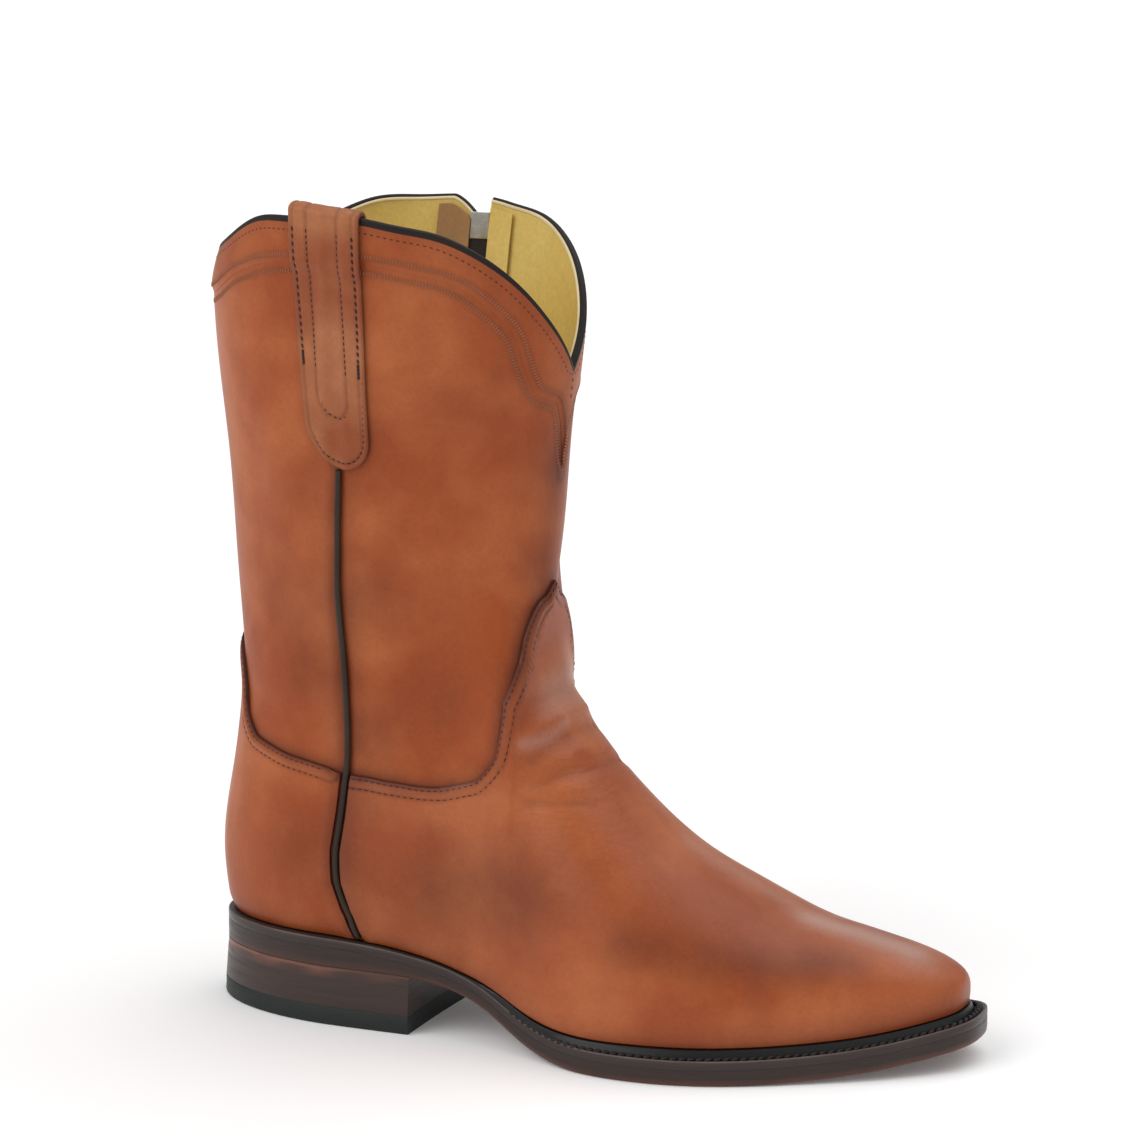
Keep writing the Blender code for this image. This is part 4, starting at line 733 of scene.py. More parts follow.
def sewn_layer(name, grid, sewn, material, node, free=(), face=None, lines=1.0):
    """A leather layer: its face rounds off over the last EDGE_ROUND mm and stands up in a rib.

    out = OVERLAY_OUT - EDGE_DROP * (1 - d / EDGE_ROUND) ** 2 + rib * exp(-((d - RIB_AT) / RIB_WIDE) ** 2)
    minus a bell for each row of stitches, where d is the distance in mm to the sewn edge. A layer with a
    face of its own gives out as a function of d. lines is how strongly painted shade darkens the edge and
    the inner row's groove, and a painted highlight pales the rib.
    """
    turn, rise = grid
    base = bare_point(turn, rise)
    near = nearest(base, sewn)
    for path in free:
        near = np.minimum(near, nearest(base, path) + 0.45)
    rib = nearest(base, sewn)
    if face is None:
        face = OVERLAY_OUT - EDGE_DROP * np.clip(1.0 - near / EDGE_ROUND, 0.0, 1.0) ** 2
        face += RIB_HEIGHT * np.exp(-((rib - RIB_AT) / RIB_WIDE) ** 2)
        for row, width in ((EDGE_ROW, 0.45), (INNER_ROW, 0.5)):
            face -= STITCH_SINK * np.exp(-((rib - row) / width) ** 2)
    else:
        face = face(rib)
    outer = skin(turn, rise, face)
    inner = skin(turn, rise, BASE_OUT + 0.05)
    rows, columns = turn.shape
    outside, inside, edges = shell_faces(np.ones((rows - 1, columns - 1), dtype=bool), False)
    kinds = np.concatenate((np.zeros(len(outside) + len(inside)), np.ones(len(edges))))
    marks = leather_marks(base)
    # painted shade at the edge, where it turns down, and in the inner row's groove, and a painted highlight
    # on the rib
    marks["burnish_and_shade"] += lines * 0.6 * np.exp(-(rib / 0.9) ** 2)
    marks["burnish_and_shade"] += lines * 0.35 * np.exp(-((rib - INNER_ROW) / 0.7) ** 2)
    marks["pale"] += lines * 0.35 * np.exp(-((rib - RIB_AT - 0.1) / 1.1) ** 2)
    both = {key: np.concatenate((value.ravel(), value.ravel())) for key, value in marks.items()}
    made = finish_mesh(name, np.vstack((outer.reshape(-1, 3), inner.reshape(-1, 3))),
                       np.vstack((outside, inside, edges)), [material, raw_edge], kinds,
                       sharp=60.0, marks=both)
    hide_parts(node)
    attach(made, "boot")
    return made


def zip_side(side, extra=0.0):
    """An overlay's edge along the zip's slot, side +1 on the heel side, turned by extra."""
    seam = beside(ZIP_LINE, side, ZIP_SLOT_WIDTH / 2.0 + ZIP_PANEL_CLEAR)
    return lambda rise: seam(rise) + extra


WHOLE_TURN = 2.0 * math.pi
vamp_leather = leather("vamp_leather", COGNAC, COGNAC_LIGHT, COGNAC_DARK, gloss=0.40, shine=0.28)
counter_leather = leather("counter_leather", COGNAC, COGNAC_LIGHT, COGNAC_DARK, gloss=0.42)
collar_leather = leather("collar_leather", COGNAC, COGNAC_LIGHT, COGNAC_DARK, gloss=0.45)
vamp_grid = patch(beside(PIPING_LINE, 1.0, PIPING_CLEAR), zip_side(-1.0),
                  foot_rise, lambda t: line_rise(VAMP, t), 300, 125, 1.1)
sewn_layer("vamp", vamp_grid, VAMP_PATH, vamp_leather, "vamp", free=(ZIP_PATH,))
counter_grid = patch(zip_side(1.0, -WHOLE_TURN), beside(PIPING_LINE, -1.0, PIPING_CLEAR),
                     foot_rise, lambda t: line_rise(COUNTER, t), 170, 90)
sewn_layer("heel_counter", counter_grid, COUNTER_PATH, counter_leather, "heel_counter")
# the collar band is skived thin: its face's distance from the last, its edge's, the skiving's width in mm,
# and how much rise it stops short of the rim
COLLAR_FACE = 0.25
COLLAR_EDGE = BASE_OUT + 0.1
COLLAR_SKIVED = 3.2
COLLAR_TOP_GAP = 0.004
collar_grid = patch(zip_side(1.0, -WHOLE_TURN), zip_side(-1.0), lambda t: line_rise(COLLAR, t),
                    lambda t: line_rise(RIM, t) - COLLAR_TOP_GAP, 420, 44)
sewn_layer("collar_band", collar_grid, COLLAR_PATH, collar_leather, "collar_band",
           face=lambda d: COLLAR_EDGE + (COLLAR_FACE - COLLAR_EDGE) * ramp(0.0, COLLAR_SKIVED, d), lines=0.0)

# --- stitching
# Waxed dark red-brown thread. A row is drawn as separate stitches that sink at both ends; on the collar
# and the strap's edges they lie aslant, like ticks.
THREAD = (0.060, 0.017, 0.012, 1.0)


def plain_finish(name, colour, roughness, metallic=0.0, grain=0.15, scale=900.0, shade=0.25):
    """A finish whose colour and roughness vary with noise and whose bump is a fine noise."""
    made, shader = shader_of(name)
    add, join = nodes_of(made.node_tree)
    where = add("ShaderNodeTexCoord").outputs["Object"]
    soft = add("ShaderNodeTexNoise", Scale=60.0, Detail=4.0, Roughness=0.6)
    fine = add("ShaderNodeTexNoise", Scale=scale, Detail=3.0, Roughness=0.6)
    join(where, soft.inputs["Vector"])
    join(where, fine.inputs["Vector"])
    tint = add("ShaderNodeMix", data_type="RGBA")
    tint.inputs[6].default_value = tuple(c * (1.0 - shade) for c in colour[:3]) + (1.0,)
    tint.inputs[7].default_value = tuple(min(1.0, c * (1.0 + shade)) for c in colour[:3]) + (1.0,)
    join(soft.outputs["Fac"], tint.inputs[0])
    join(tint.outputs[2], shader.inputs["Base Color"])
    wear = add("ShaderNodeMapRange")
    for label, number in (("From Min", 0.3), ("From Max", 0.7), ("To Min", roughness - 0.06),
                          ("To Max", roughness + 0.08)):
        wear.inputs[label].default_value = number
    join(fine.outputs["Fac"], wear.inputs["Value"])
    join(wear.outputs["Result"], shader.inputs["Roughness"])
    relief_node = add("ShaderNodeBump", Strength=grain, Distance=0.0006)
    join(fine.outputs["Fac"], relief_node.inputs["Height"])
    join(relief_node.outputs["Normal"], shader.inputs["Normal"])
    shader.inputs["Metallic"].default_value = metallic
    shader.inputs["Specular IOR Level"].default_value = 0.5 if metallic else 0.25
    return made


thread_finish = plain_finish("waxed_thread", THREAD, 0.5, grain=0.5, scale=2600.0)


def thread_bead(sides, stations, sink):
    """One stitch as a bead: how far along, aside and up each point lies, its walls and its two ends.

    radius = (1 - u ** 4) ** 0.5 for u from -1 to 1, and the ends sink by sink * u ** 2.
    """
    u = np.linspace(-0.96, 0.96, stations)
    round_way = np.linspace(0.0, 2.0 * math.pi, sides, endpoint=False)
    swell = np.sqrt(1.0 - u ** 4)
    aside = (swell[:, None] * np.cos(round_way)).ravel()
    lift = (swell[:, None] * np.sin(round_way)).ravel() - sink * np.repeat(u ** 2, sides)
    k, i = np.divmod(np.arange((stations - 1) * sides), sides)
    j = (i + 1) % sides
    walls = np.stack((k * sides + i, k * sides + j, (k + 1) * sides + j, (k + 1) * sides + i), axis=1)
    caps = [list(range(sides))[::-1], list(range((stations - 1) * sides, stations * sides))]
    return np.repeat(u, sides), aside, lift, walls, caps


def bead_faces(starts, walls, caps):
    """The faces of equal beads whose points start at the given numbers."""
    faces = (starts[:, None, None] + walls).reshape(-1, 4).tolist()
    return faces + [[s + v for v in cap] for s in starts.tolist() for cap in caps]


def along_path(at, run, path):
    """Points of a path at given lengths of its run."""
    return np.stack([np.interp(at, run, path[:, axis]) for axis in range(3)], axis=1)


def run_of(path):
    """The length of a path up to each of its points."""
    return np.concatenate(([0.0], np.cumsum(np.linalg.norm(np.diff(path, axis=0), axis=1))))


def stitched(name, rows, material, sides=6, stations=5):
    """Rows of stitches as one mesh. Each row gives turns and rises of a dense line, and its sizes in mm:
    length, gap, width, height, lean in degrees and how far out it lies."""
    along, aside, lift, walls, caps = thread_bead(sides, stations, 0.55)
    points, faces, count = [], [], 0
    for turn, rise, length, gap, width, height, lean, out in rows:
        path = skin(turn, rise, out)
        _, normal, _ = last_frame(turn, rise)
        run = run_of(path)
        number = max(1, int(run[-1] / (length + gap)))
        at = (np.arange(number) + 0.5) * run[-1] / number
        centre = along_path(at, run, path)
        ahead = along_path(at + 0.4, run, path) - along_path(at - 0.4, run, path)
        up = along_path(at, run, normal)
        ahead /= np.linalg.norm(ahead, axis=1, keepdims=True)
        up -= ahead * (up * ahead).sum(axis=1, keepdims=True)
        up /= np.linalg.norm(up, axis=1, keepdims=True)
        cross = np.cross(up, ahead)
        lean = math.radians(lean)
        first = ahead * math.cos(lean) + cross * math.sin(lean)
        second = np.cross(up, first)
        made = (centre[:, None] + first[:, None] * (along[:, None] * length / 2.0)
                + second[:, None] * (aside[:, None] * width / 2.0)
                + up[:, None] * (lift[:, None] * height / 2.0))
        faces += bead_faces(count + np.arange(number) * len(along), walls, caps)
        points.append(made.reshape(-1, 3))
        count += made.shape[0] * made.shape[1]
    made = finish_mesh(name, np.vstack(points), faces, [material], sharp=80.0)
    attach(made, "boot")
    return made


def set_in(line, turns, inset):
    """A row inset mm inside a line, moved square to it across the leather; plus is down the boot.

    The step across is the line's normal in the surface, solved for turn and rise by least squares from
    how a point moves with each, and then softened by a bell curve.
    """
    turn = np.radians(turns)
    rise = line_rise(line, turn)
    point, normal, speed = last_frame(turn, rise)
    ahead = np.gradient(bare_point(turn, rise), axis=0)
    ahead /= np.linalg.norm(ahead, axis=1, keepdims=True)
    across = np.cross(normal, ahead)
    round_way = bare_point(turn + 0.01, rise) - bare_point(turn - 0.01, rise)
    up_way = bare_point(turn, np.minimum(rise + 0.004, 1.0)) - bare_point(turn, rise - 0.004)
    a, b, c = (round_way ** 2).sum(1), (round_way * up_way).sum(1), (up_way ** 2).sum(1)
    p, q = (across * round_way).sum(1), (across * up_way).sum(1)
    det = a * c - b * b
    soft = np.exp(-(np.arange(-12, 13) / 6.0) ** 2)

    def eased(values):
        """Values softened along the row, held level past its ends."""
        padded = np.concatenate((np.full(12, values[0]), values, np.full(12, values[-1])))
        return np.convolve(padded, soft / soft.sum(), mode="valid")
    return (eased(turn - 0.02 * inset * (c * p - b * q) / det),
            eased(rise - 0.008 * inset * (a * q - b * p) / det))


# where each row starts and ends, in degrees of turn, and how far the collar's ticks lie from its edge
vamp_turns = np.linspace(67.5, 292.0, 1200)
counter_turns = np.linspace(-58.0, 60.0, 600)
collar_turns = np.linspace(-92.0, 256.0, 1400)
TICKS_APART = 3.0
RIM_ROW = 3.9
tick_finish = plain_finish("collar_thread", (0.27, 0.085, 0.038, 1.0), 0.5, grain=0.4, scale=2600.0)
ticks = [
    (*set_in(COLLAR, collar_turns, -TICKS_APART), 2.0, -0.85, 0.75, 0.42, 84.0, COLLAR_FACE - 0.05),
    (*set_in(COLLAR, collar_turns, TICKS_APART), 2.0, -0.85, 0.75, 0.42, 84.0, BASE_OUT + 0.05),
]
stitched("collar_ticks", ticks, tick_finish)
v_rise = np.linspace(0.822, 0.846, 60)
rows = [
    (0.0 * v_rise + math.pi, v_rise, 1.8, 0.5, 0.6, 0.5, 0.0, COLLAR_FACE),
    (*set_in(VAMP, vamp_turns, EDGE_ROW), 2.0, 0.5, 0.55, 0.45, 0.0, OVERLAY_OUT - 0.1),
    (*set_in(VAMP, vamp_turns, INNER_ROW), 2.0, 0.6, 0.5, 0.4, 0.0, OVERLAY_OUT - 0.12),
    (*set_in(COUNTER, counter_turns, EDGE_ROW), 2.0, 0.5, 0.55, 0.45, 0.0, OVERLAY_OUT - 0.1),
    (*set_in(COUNTER, counter_turns, INNER_ROW), 2.0, 0.6, 0.5, 0.4, 0.0, OVERLAY_OUT - 0.12),
    (*set_in(RIM, collar_turns, RIM_ROW), 1.7, 0.7, 0.5, 0.4, 0.0, COLLAR_FACE - 0.05),
]
stitched("upper_stitches", rows, thread_finish)

# --- side-seam piping and the binding over the rim
# The piping is a dark waxed leather cord sewn into the side seam. The binding is a strip of thin dark
# brown leather folded over the rim, a little uneven from the folding by hand. Inside it meets the hem.
PIPING_RADIUS = 1.15
PIPING_TOP_RISE = 0.704
BINDING_DROP = 1.5
BINDING_THICK = 0.45
FIT_GAP = 0.3
RISE_PER_MM = 1.0 / (BACK_TOP_Z - 33.3)


def swept(name, rings, material, closed=False, sharp=50.0, marks=None):
    """Rings of points joined into one body: an array of rings by points by 3. An open one gets two ends."""
    count, size = rings.shape[:2]
    k = np.arange(count if closed else count - 1)
    i = np.arange(size)
    k, i = (part.ravel() for part in np.meshgrid(k, i, indexing="ij"))
    n, j = (k + 1) % count, (i + 1) % size
    faces = np.stack((k * size + i, k * size + j, n * size + j, n * size + i), axis=1).tolist()
    if not closed:
        faces += [list(range(size))[::-1], list(range((count - 1) * size, count * size))]
    spokes = rings[0] - rings[0].mean(0)
    onward = rings[1].mean(0) - rings[0].mean(0)
    if (np.cross(spokes, np.roll(spokes, -1, 0)) @ onward).sum() < 0.0:
        faces = [face[::-1] for face in faces]
    return finish_mesh(name, rings.reshape(-1, 3), faces, [material], sharp=sharp, marks=marks)


dark_leather = leather("dark_binding", (0.012, 0.008, 0.007, 1.0), (0.018, 0.012, 0.009, 1.0),
                       (0.006, 0.004, 0.004, 1.0), gloss=0.5, bump=0.35, coat=0.0)
piping_leather = leather("dark_piping", (0.026, 0.015, 0.011, 1.0), (0.040, 0.025, 0.018, 1.0),
                         (0.010, 0.006, 0.005, 1.0), gloss=0.42, bump=0.35, coat=0.0)
PIPING_STATIONS = 320
rise = np.linspace(0.004, PIPING_TOP_RISE, PIPING_STATIONS)
turn = np.radians(np.interp(rise, *PIPING_LINE.T))
turn = np.convolve(np.pad(turn, 10, mode="edge"), np.ones(21) / 21.0, mode="valid")
centre = skin(turn, rise, OVERLAY_IN + PIPING_RADIUS - 0.35)
_, normal, _ = last_frame(turn, rise)
along = np.gradient(centre, axis=0)
along /= np.linalg.norm(along, axis=1, keepdims=True)
across = np.cross(normal, along)
across /= np.linalg.norm(across, axis=1, keepdims=True)
angle = np.linspace(0.0, 2.0 * math.pi, 18, endpoint=False)
number = np.arange(PIPING_STATIONS)
thick = PIPING_RADIUS * (1.0 + 0.03 * np.sin(number / 3.1) * np.sin(number / 11.0))
rings = centre[:, None] + thick[:, None, None] * (
    np.cos(angle)[None, :, None] * normal[:, None] + np.sin(angle)[None, :, None] * across[:, None])
piping = swept("side_piping", rings, piping_leather)
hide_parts("side_piping")
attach(piping, "boot")

# the binding's two legs: how far outside the last their near sides lie
leg_in = BASE_OUT - LEATHER_WALL + 0.85
leg_out = COLLAR_FACE - 0.45
arc = np.linspace(0.0, math.pi, 11)
middle, reach = (leg_in + leg_out) / 2.0, (leg_out - leg_in) / 2.0
outer_out = middle + (reach + BINDING_THICK) * np.cos(arc)
outer_up = FIT_GAP + (BINDING_THICK + 0.35) * np.sin(arc)
# distance outside the last, height above the rim, up the outside, over and down the inside and back
section = np.vstack((
    [(leg_out + 0.25, -BINDING_DROP), (leg_out + BINDING_THICK - 0.1, -BINDING_DROP + 0.1),
     (leg_out + BINDING_THICK + 0.05, -BINDING_DROP / 2.0)],
    np.column_stack((outer_out, outer_up)),
    [(leg_in - BINDING_THICK, -0.2), (leg_in - BINDING_THICK + 0.1, -0.7),
     (leg_in - 0.25, -0.8), (leg_in - 0.05, -0.5), (leg_in, -0.2),
     (leg_out, -0.2), (leg_out + 0.05, -BINDING_DROP + 0.4)]))
across = np.linspace(0.0, 1.0, 480)
start = float(beside(ZIP_LINE, 1.0, ZIP_SLOT_WIDTH / 2.0 + FIT_GAP)(0.97)) - 2.0 * math.pi
end = float(beside(ZIP_LINE, -1.0, ZIP_SLOT_WIDTH / 2.0 + FIT_GAP)(0.97))
turn = start + (end - start) * across
rise = line_rise(RIM, turn)
uneven = 1.0 + 0.05 * np.sin(turn * 31.0) + 0.04 * np.sin(turn * 77.0 + 1.0)
rings = []
for out, height in section:
    low = min(height, 0.0) * RISE_PER_MM * (uneven if height < -0.6 else 1.0)
    ring = skin(turn, rise + low, out)
    ring[:, 2] += max(height, 0.0)
    rings.append(ring)
binding = swept("top_binding", np.stack(rings, axis=1), dark_leather, sharp=70.0)
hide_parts("top_binding")
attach(binding, "boot")

# a thin cream edge of the lining's turned hem shows beside the binding: distance outside the last, drop
hem_finish = plain_finish("cream_hem", (0.72, 0.60, 0.36, 1.0), 0.65)
hem = []
for out, drop in ((-2.2, -0.2), (-2.9, -0.2), (-3.2, 0.1), (-3.2, 0.6), (-2.7, 0.9)):
    hem.append(skin(turn, rise - drop * RISE_PER_MM, out))
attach(swept("lining_hem", np.stack(hem, axis=1), hem_finish), "boot")

# --- pull strap
# A doubled strap of shaft leather: its rounded foot is sewn outside above the piping, and it rises over
# the rim in a small loop and goes down inside. Two rows along its edges, and a narrow U inside them.
STRAP_TURN = (91.0, 87.0)
STRAP_WIDTH = (25.0, 28.0)
STRAP_THICK = 1.8
STRAP_FOOT_RISE = 0.707
STRAP_INSIDE_RISE = 0.800
STRAP_LOOP_RISE = 1.4
STRAP_END_ROUND = 12.0
STRAP_ROWS = (60, 24, 26, 30)
STRAP_COLUMNS = 45
# sewn rows in mm: how far in from the edge, half the inner U's width and how far up its foot's middle lies
STRAP_EDGE_ROW = 2.2
U_HALF = 6.0
U_FOOT = 22.0


def strap_line():
    """The strap's run from its foot, over the rim and down inside: rise, how far out its near and far faces
    lie, how far both are lifted, and the rim's rise.

    Over the rim both faces follow a half circle: out = middle + reach * cos(angle), lift = over + loop *
    sin(angle). Below the collar's edge the near face lies on the shaft, and it climbs over that edge.
    """
    rim = float(line_rise(RIM, math.radians(STRAP_TURN[1])))
    lie = OVERLAY_OUT + FIT_GAP
    lie_in = BASE_OUT - LEATHER_WALL - 2.0 * FIT_GAP - BINDING_THICK - 0.35
    collar = float(np.min(line_rise(COLLAR, np.radians(np.array([70.0, 104.0]))))) - RISE_PER_MM
    share = np.linspace(0.0, 1.0, STRAP_ROWS[0] + 1)[:-1] ** 1.4
    outside = STRAP_FOOT_RISE + (collar - STRAP_FOOT_RISE) * share
    step = np.linspace(collar, rim, STRAP_ROWS[1])
    arc = np.linspace(0.0, math.pi, STRAP_ROWS[2] + 2)[1:-1]
    inside = np.linspace(rim, STRAP_INSIDE_RISE, STRAP_ROWS[3])
    rise = np.concatenate((outside, step, np.full(len(arc), rim), inside))
    climb = OVERLAY_IN + (lie - OVERLAY_IN) * ramp(-0.002, 0.016, step - collar)
    middle, reach = (lie + lie_in) / 2.0, (lie - lie_in) / 2.0
    near = np.concatenate((0.0 * outside + OVERLAY_IN, climb, middle + reach * np.cos(arc),
                           0.0 * inside + lie_in))
    thick = np.concatenate((0.0 * outside + 1.0, 0.0 * step + 1.0, np.cos(arc), 0.0 * inside - 1.0))
    over = 2.0 * FIT_GAP + BINDING_THICK + 0.35
    ease = ramp(rim - 0.012, rim, step)
    down = over * ramp(rim - 0.02, rim, inside)
    lifts = [np.concatenate((0.0 * outside, over * ease, over + loop * np.sin(arc), down))
             for loop in (STRAP_LOOP_RISE, STRAP_LOOP_RISE + STRAP_THICK)]
    return rise, near, near + thick * STRAP_THICK, *lifts, rim


rise, near_out, far_out, lift_near, lift_far, strap_rim = strap_line()
last_outside = STRAP_ROWS[0] + STRAP_ROWS[1]
up = np.clip((rise - STRAP_FOOT_RISE) / (strap_rim - STRAP_FOOT_RISE), 0.0, 1.0)
up[last_outside:] = 1.0
strap_centre = np.radians(STRAP_TURN[0] + (STRAP_TURN[1] - STRAP_TURN[0]) * up)
width = STRAP_WIDTH[0] + (STRAP_WIDTH[1] - STRAP_WIDTH[0]) * up
from_end = np.clip((rise - STRAP_FOOT_RISE) / RISE_PER_MM / STRAP_END_ROUND, 0.004, 1.0)
from_end[last_outside:] = 1.0
round_width = width * np.sqrt(1.0 - (1.0 - from_end) ** 2)
speed = last_frame(strap_centre, rise)[2]
across = np.linspace(-1.0, 1.0, STRAP_COLUMNS)
across = np.sin(across * math.pi / 2.0 * 0.82) / math.sin(math.pi / 2.0 * 0.82)
side_mm = 0.5 * round_width[:, None] * across
turn = strap_centre[:, None] + side_mm / speed[:, None]
grid_rise = np.repeat(rise[:, None], STRAP_COLUMNS, axis=1)
# distance to the strap's edge in mm, round its foot too
run_up = (rise - STRAP_FOOT_RISE) / RISE_PER_MM
run_up[last_outside:] = 200.0
half = width[:, None] / 2.0
foot = np.clip(STRAP_END_ROUND - run_up[:, None], 0.0, None)
edge_mm = half - np.hypot(side_mm, foot * half / STRAP_END_ROUND)
edge_mm = np.where(foot > 0.0, edge_mm, half - np.abs(side_mm))
inner_mm = np.where(run_up[:, None] < U_FOOT, np.hypot(side_mm, U_FOOT - run_up[:, None]), np.abs(side_mm))
inner_mm = np.abs(inner_mm - np.where(run_up[:, None] > 100.0, U_HALF + 0.2, U_HALF))
shape = -0.75 * np.clip(1.0 - edge_mm / 0.9, 0.0, 1.0) ** 2
shape -= 0.28 * np.exp(-((edge_mm - STRAP_EDGE_ROW) / 0.55) ** 2) + 0.30 * np.exp(-(inner_mm / 0.55) ** 2)
shape += 0.18 * np.exp(-((edge_mm - 4.6) / 2.0) ** 2)
# which way the far side faces: +1 outside the boot, -1 inside it, and the bend's cosine over the rim
over_rim = np.cos(np.linspace(0.0, math.pi, STRAP_ROWS[2] + 2)[1:-1])
side_of = np.concatenate((np.ones(last_outside), over_rim, -np.ones(STRAP_ROWS[3])))[:, None]
outer = skin(turn, grid_rise, far_out[:, None] + shape * side_of)
inner = skin(turn, grid_rise, near_out[:, None])
outer[..., 2] += lift_far[:, None] + shape * np.sqrt(1.0 - side_of ** 2)
inner[..., 2] += lift_near[:, None]
outside, inside, edges = shell_faces(np.ones((len(rise) - 1, STRAP_COLUMNS - 1), dtype=bool), False)
strap_leather = leather("strap_leather", (0.250, 0.056, 0.016, 1.0), (0.37, 0.130, 0.052, 1.0), COGNAC_DARK,
                        gloss=0.38, coat=0.08)
# painted shade: darker along the strap's edges and in the grooves of its sunk rows of stitches
burnish_and_shade = 0.45 * np.exp(-(edge_mm / 1.0) ** 2) + 0.5 * np.exp(-(inner_mm / 0.6) ** 2)
burnish_and_shade += 0.35 * np.exp(-((edge_mm - STRAP_EDGE_ROW) / 0.6) ** 2)
# painted highlight: paler where the strap bends over the rim
rubbed_and_highlight = np.exp(-((np.arange(len(rise)) - last_outside - 2.0) / 7.0) ** 2)
pale = 0.08 + 0.0 * edge_mm + 0.7 * rubbed_and_highlight[:, None]
marks = {"burnish_and_shade": np.concatenate((burnish_and_shade.ravel(), burnish_and_shade.ravel())),
         "pale": np.concatenate((pale.ravel(), pale.ravel()))}
strap = finish_mesh("pull_strap", np.vstack((outer.reshape(-1, 3), inner.reshape(-1, 3))),
                    np.vstack((outside, inside, edges)), [strap_leather, raw_edge],
                    np.concatenate((np.zeros(len(outside) + len(inside)), np.ones(len(edges)))), marks=marks)
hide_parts("pull_strap")
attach(strap, "boot")

# rows of stitches from 30 mm above the foot up to the rim, with tacks of close stitches at their lower ends
strap_rise = np.linspace(STRAP_FOOT_RISE + 30.0 * RISE_PER_MM, strap_rim - 0.012, 200)
share = (strap_rise - STRAP_FOOT_RISE) / (strap_rim - STRAP_FOOT_RISE)
strap_mid = np.radians(STRAP_TURN[0] + (STRAP_TURN[1] - STRAP_TURN[0]) * share)
strap_half = (STRAP_WIDTH[0] + (STRAP_WIDTH[1] - STRAP_WIDTH[0]) * share) / 2.0
strap_speed = last_frame(strap_mid, strap_rise)[2]
collar_there = float(np.min(line_rise(COLLAR, np.radians(np.array([70.0, 104.0])))))
climb = ramp(collar_there - 0.005, collar_there + 0.012, strap_rise)
strap_face = OVERLAY_IN + STRAP_THICK
lie = strap_face + (OVERLAY_OUT + FIT_GAP - OVERLAY_IN) * climb
rows = []
for side in (-1.0, 1.0):
    edge = strap_mid + side * (strap_half - STRAP_EDGE_ROW) / strap_speed
    rows.append((edge, strap_rise, 1.9, 0.7, 0.85, 0.6, 18.0, lie - 0.14))
    inner_row = strap_mid + side * (U_HALF + 0.1) / strap_speed
    rows.append((inner_row, strap_rise, 1.7, 0.4, 0.5, 0.4, 0.0, lie - 0.2))
    tack = slice(0, 22)
    rows.append((edge[tack], strap_rise[tack], 1.1, 0.1, 1.5, 0.8, 80.0, lie[tack] - 0.05))


def strap_row(side_mm, up_mm, sunk):
    """A fine row on the strap's lower part, from mm beside its middle and mm above its foot."""
    row_rise = STRAP_FOOT_RISE + up_mm * RISE_PER_MM
    middle = np.radians(STRAP_TURN[0]) + 0.0 * row_rise
    return (middle + side_mm / last_frame(middle, row_rise)[2], row_rise, 1.7, 0.4, 0.5, 0.4, 0.0,
            strap_face - sunk)


bend = np.linspace(0.0, math.pi, 160)
foot_half = STRAP_WIDTH[0] / 2.0 - STRAP_EDGE_ROW
rows.append(strap_row(-U_HALF * np.cos(bend), U_FOOT - U_HALF * np.sin(bend), 0.2))
for side in (-1.0, 1.0):
    rows.append(strap_row(side * U_HALF, np.linspace(U_FOOT, 31.0, 40), 0.2))
    rows.append(strap_row(side * foot_half, np.linspace(STRAP_END_ROUND, 30.0, 60), 0.16))
rows.append(strap_row(-foot_half * np.cos(bend),
                      STRAP_END_ROUND - (STRAP_END_ROUND - STRAP_EDGE_ROW) * np.sin(bend), 0.16))
strap_thread = plain_finish("strap_thread", (0.030, 0.012, 0.010, 1.0), 0.5, grain=0.5, scale=2600.0)
stitched("strap_stitches", rows, strap_thread)

# --- zip on the medial side
# A coil zip set behind a slot in the leather: a dark woven tape, the coil's two rows of teeth, a sewn row
# on both sides of the slot, and a nickel slider with its pull tab. Inside, a strip of suede faces the tape
# on the heel side and a strip of lining leather on the toe side.
ZIP_TAPE_WIDTH = 22.0
ZIP_RIM_RISE = float(line_rise(RIM_LINE, np.radians(np.interp(0.95, *ZIP_LINE.T))))
TAPE_OUT = BASE_OUT - LEATHER_WALL - FIT_GAP
COIL_MIDDLE = TAPE_OUT + FIT_GAP + 1.1
COIL_TOP = ZIP_RIM_RISE - 9.0 * RISE_PER_MM
TAPE_TOP = ZIP_RIM_RISE - 8.0 * RISE_PER_MM
# the facings inside: their edges in mm from the slot's middle, where they start and how near the rim they end
FACING_HEEL = (4.2, 18.0)
FACING_TOE = (-15.0, -4.2)
FACING_FOOT_RISE = 0.30
FACING_DROP = 2.2


def woven_finish(name, colour, across=900.0):
    """Tape's weave: two crossing waves make the bump and darken the colour between the yarns."""
    made, shader = shader_of(name)
    add, join = nodes_of(made.node_tree)
    where = add("ShaderNodeTexCoord").outputs["Object"]
    mix = add("ShaderNodeMath", operation="MULTIPLY")
    for number, axis in enumerate(("X", "Z")):
        wave = add("ShaderNodeTexWave", Scale=across, Distortion=0.6, bands_direction=axis)
        join(where, wave.inputs["Vector"])
        join(wave.outputs["Fac"], mix.inputs[number])
    tint = add("ShaderNodeMix", data_type="RGBA")
    tint.inputs[6].default_value = tuple(0.45 * c for c in colour[:3]) + (1.0,)
    tint.inputs[7].default_value = colour
    join(mix.outputs[0], tint.inputs[0])
    join(tint.outputs[2], shader.inputs["Base Color"])
    relief_node = add("ShaderNodeBump", Strength=0.5, Distance=0.0003)
    join(mix.outputs[0], relief_node.inputs["Height"])
    join(relief_node.outputs["Normal"], shader.inputs["Normal"])
    shader.inputs["Roughness"].default_value = 0.85
    return made


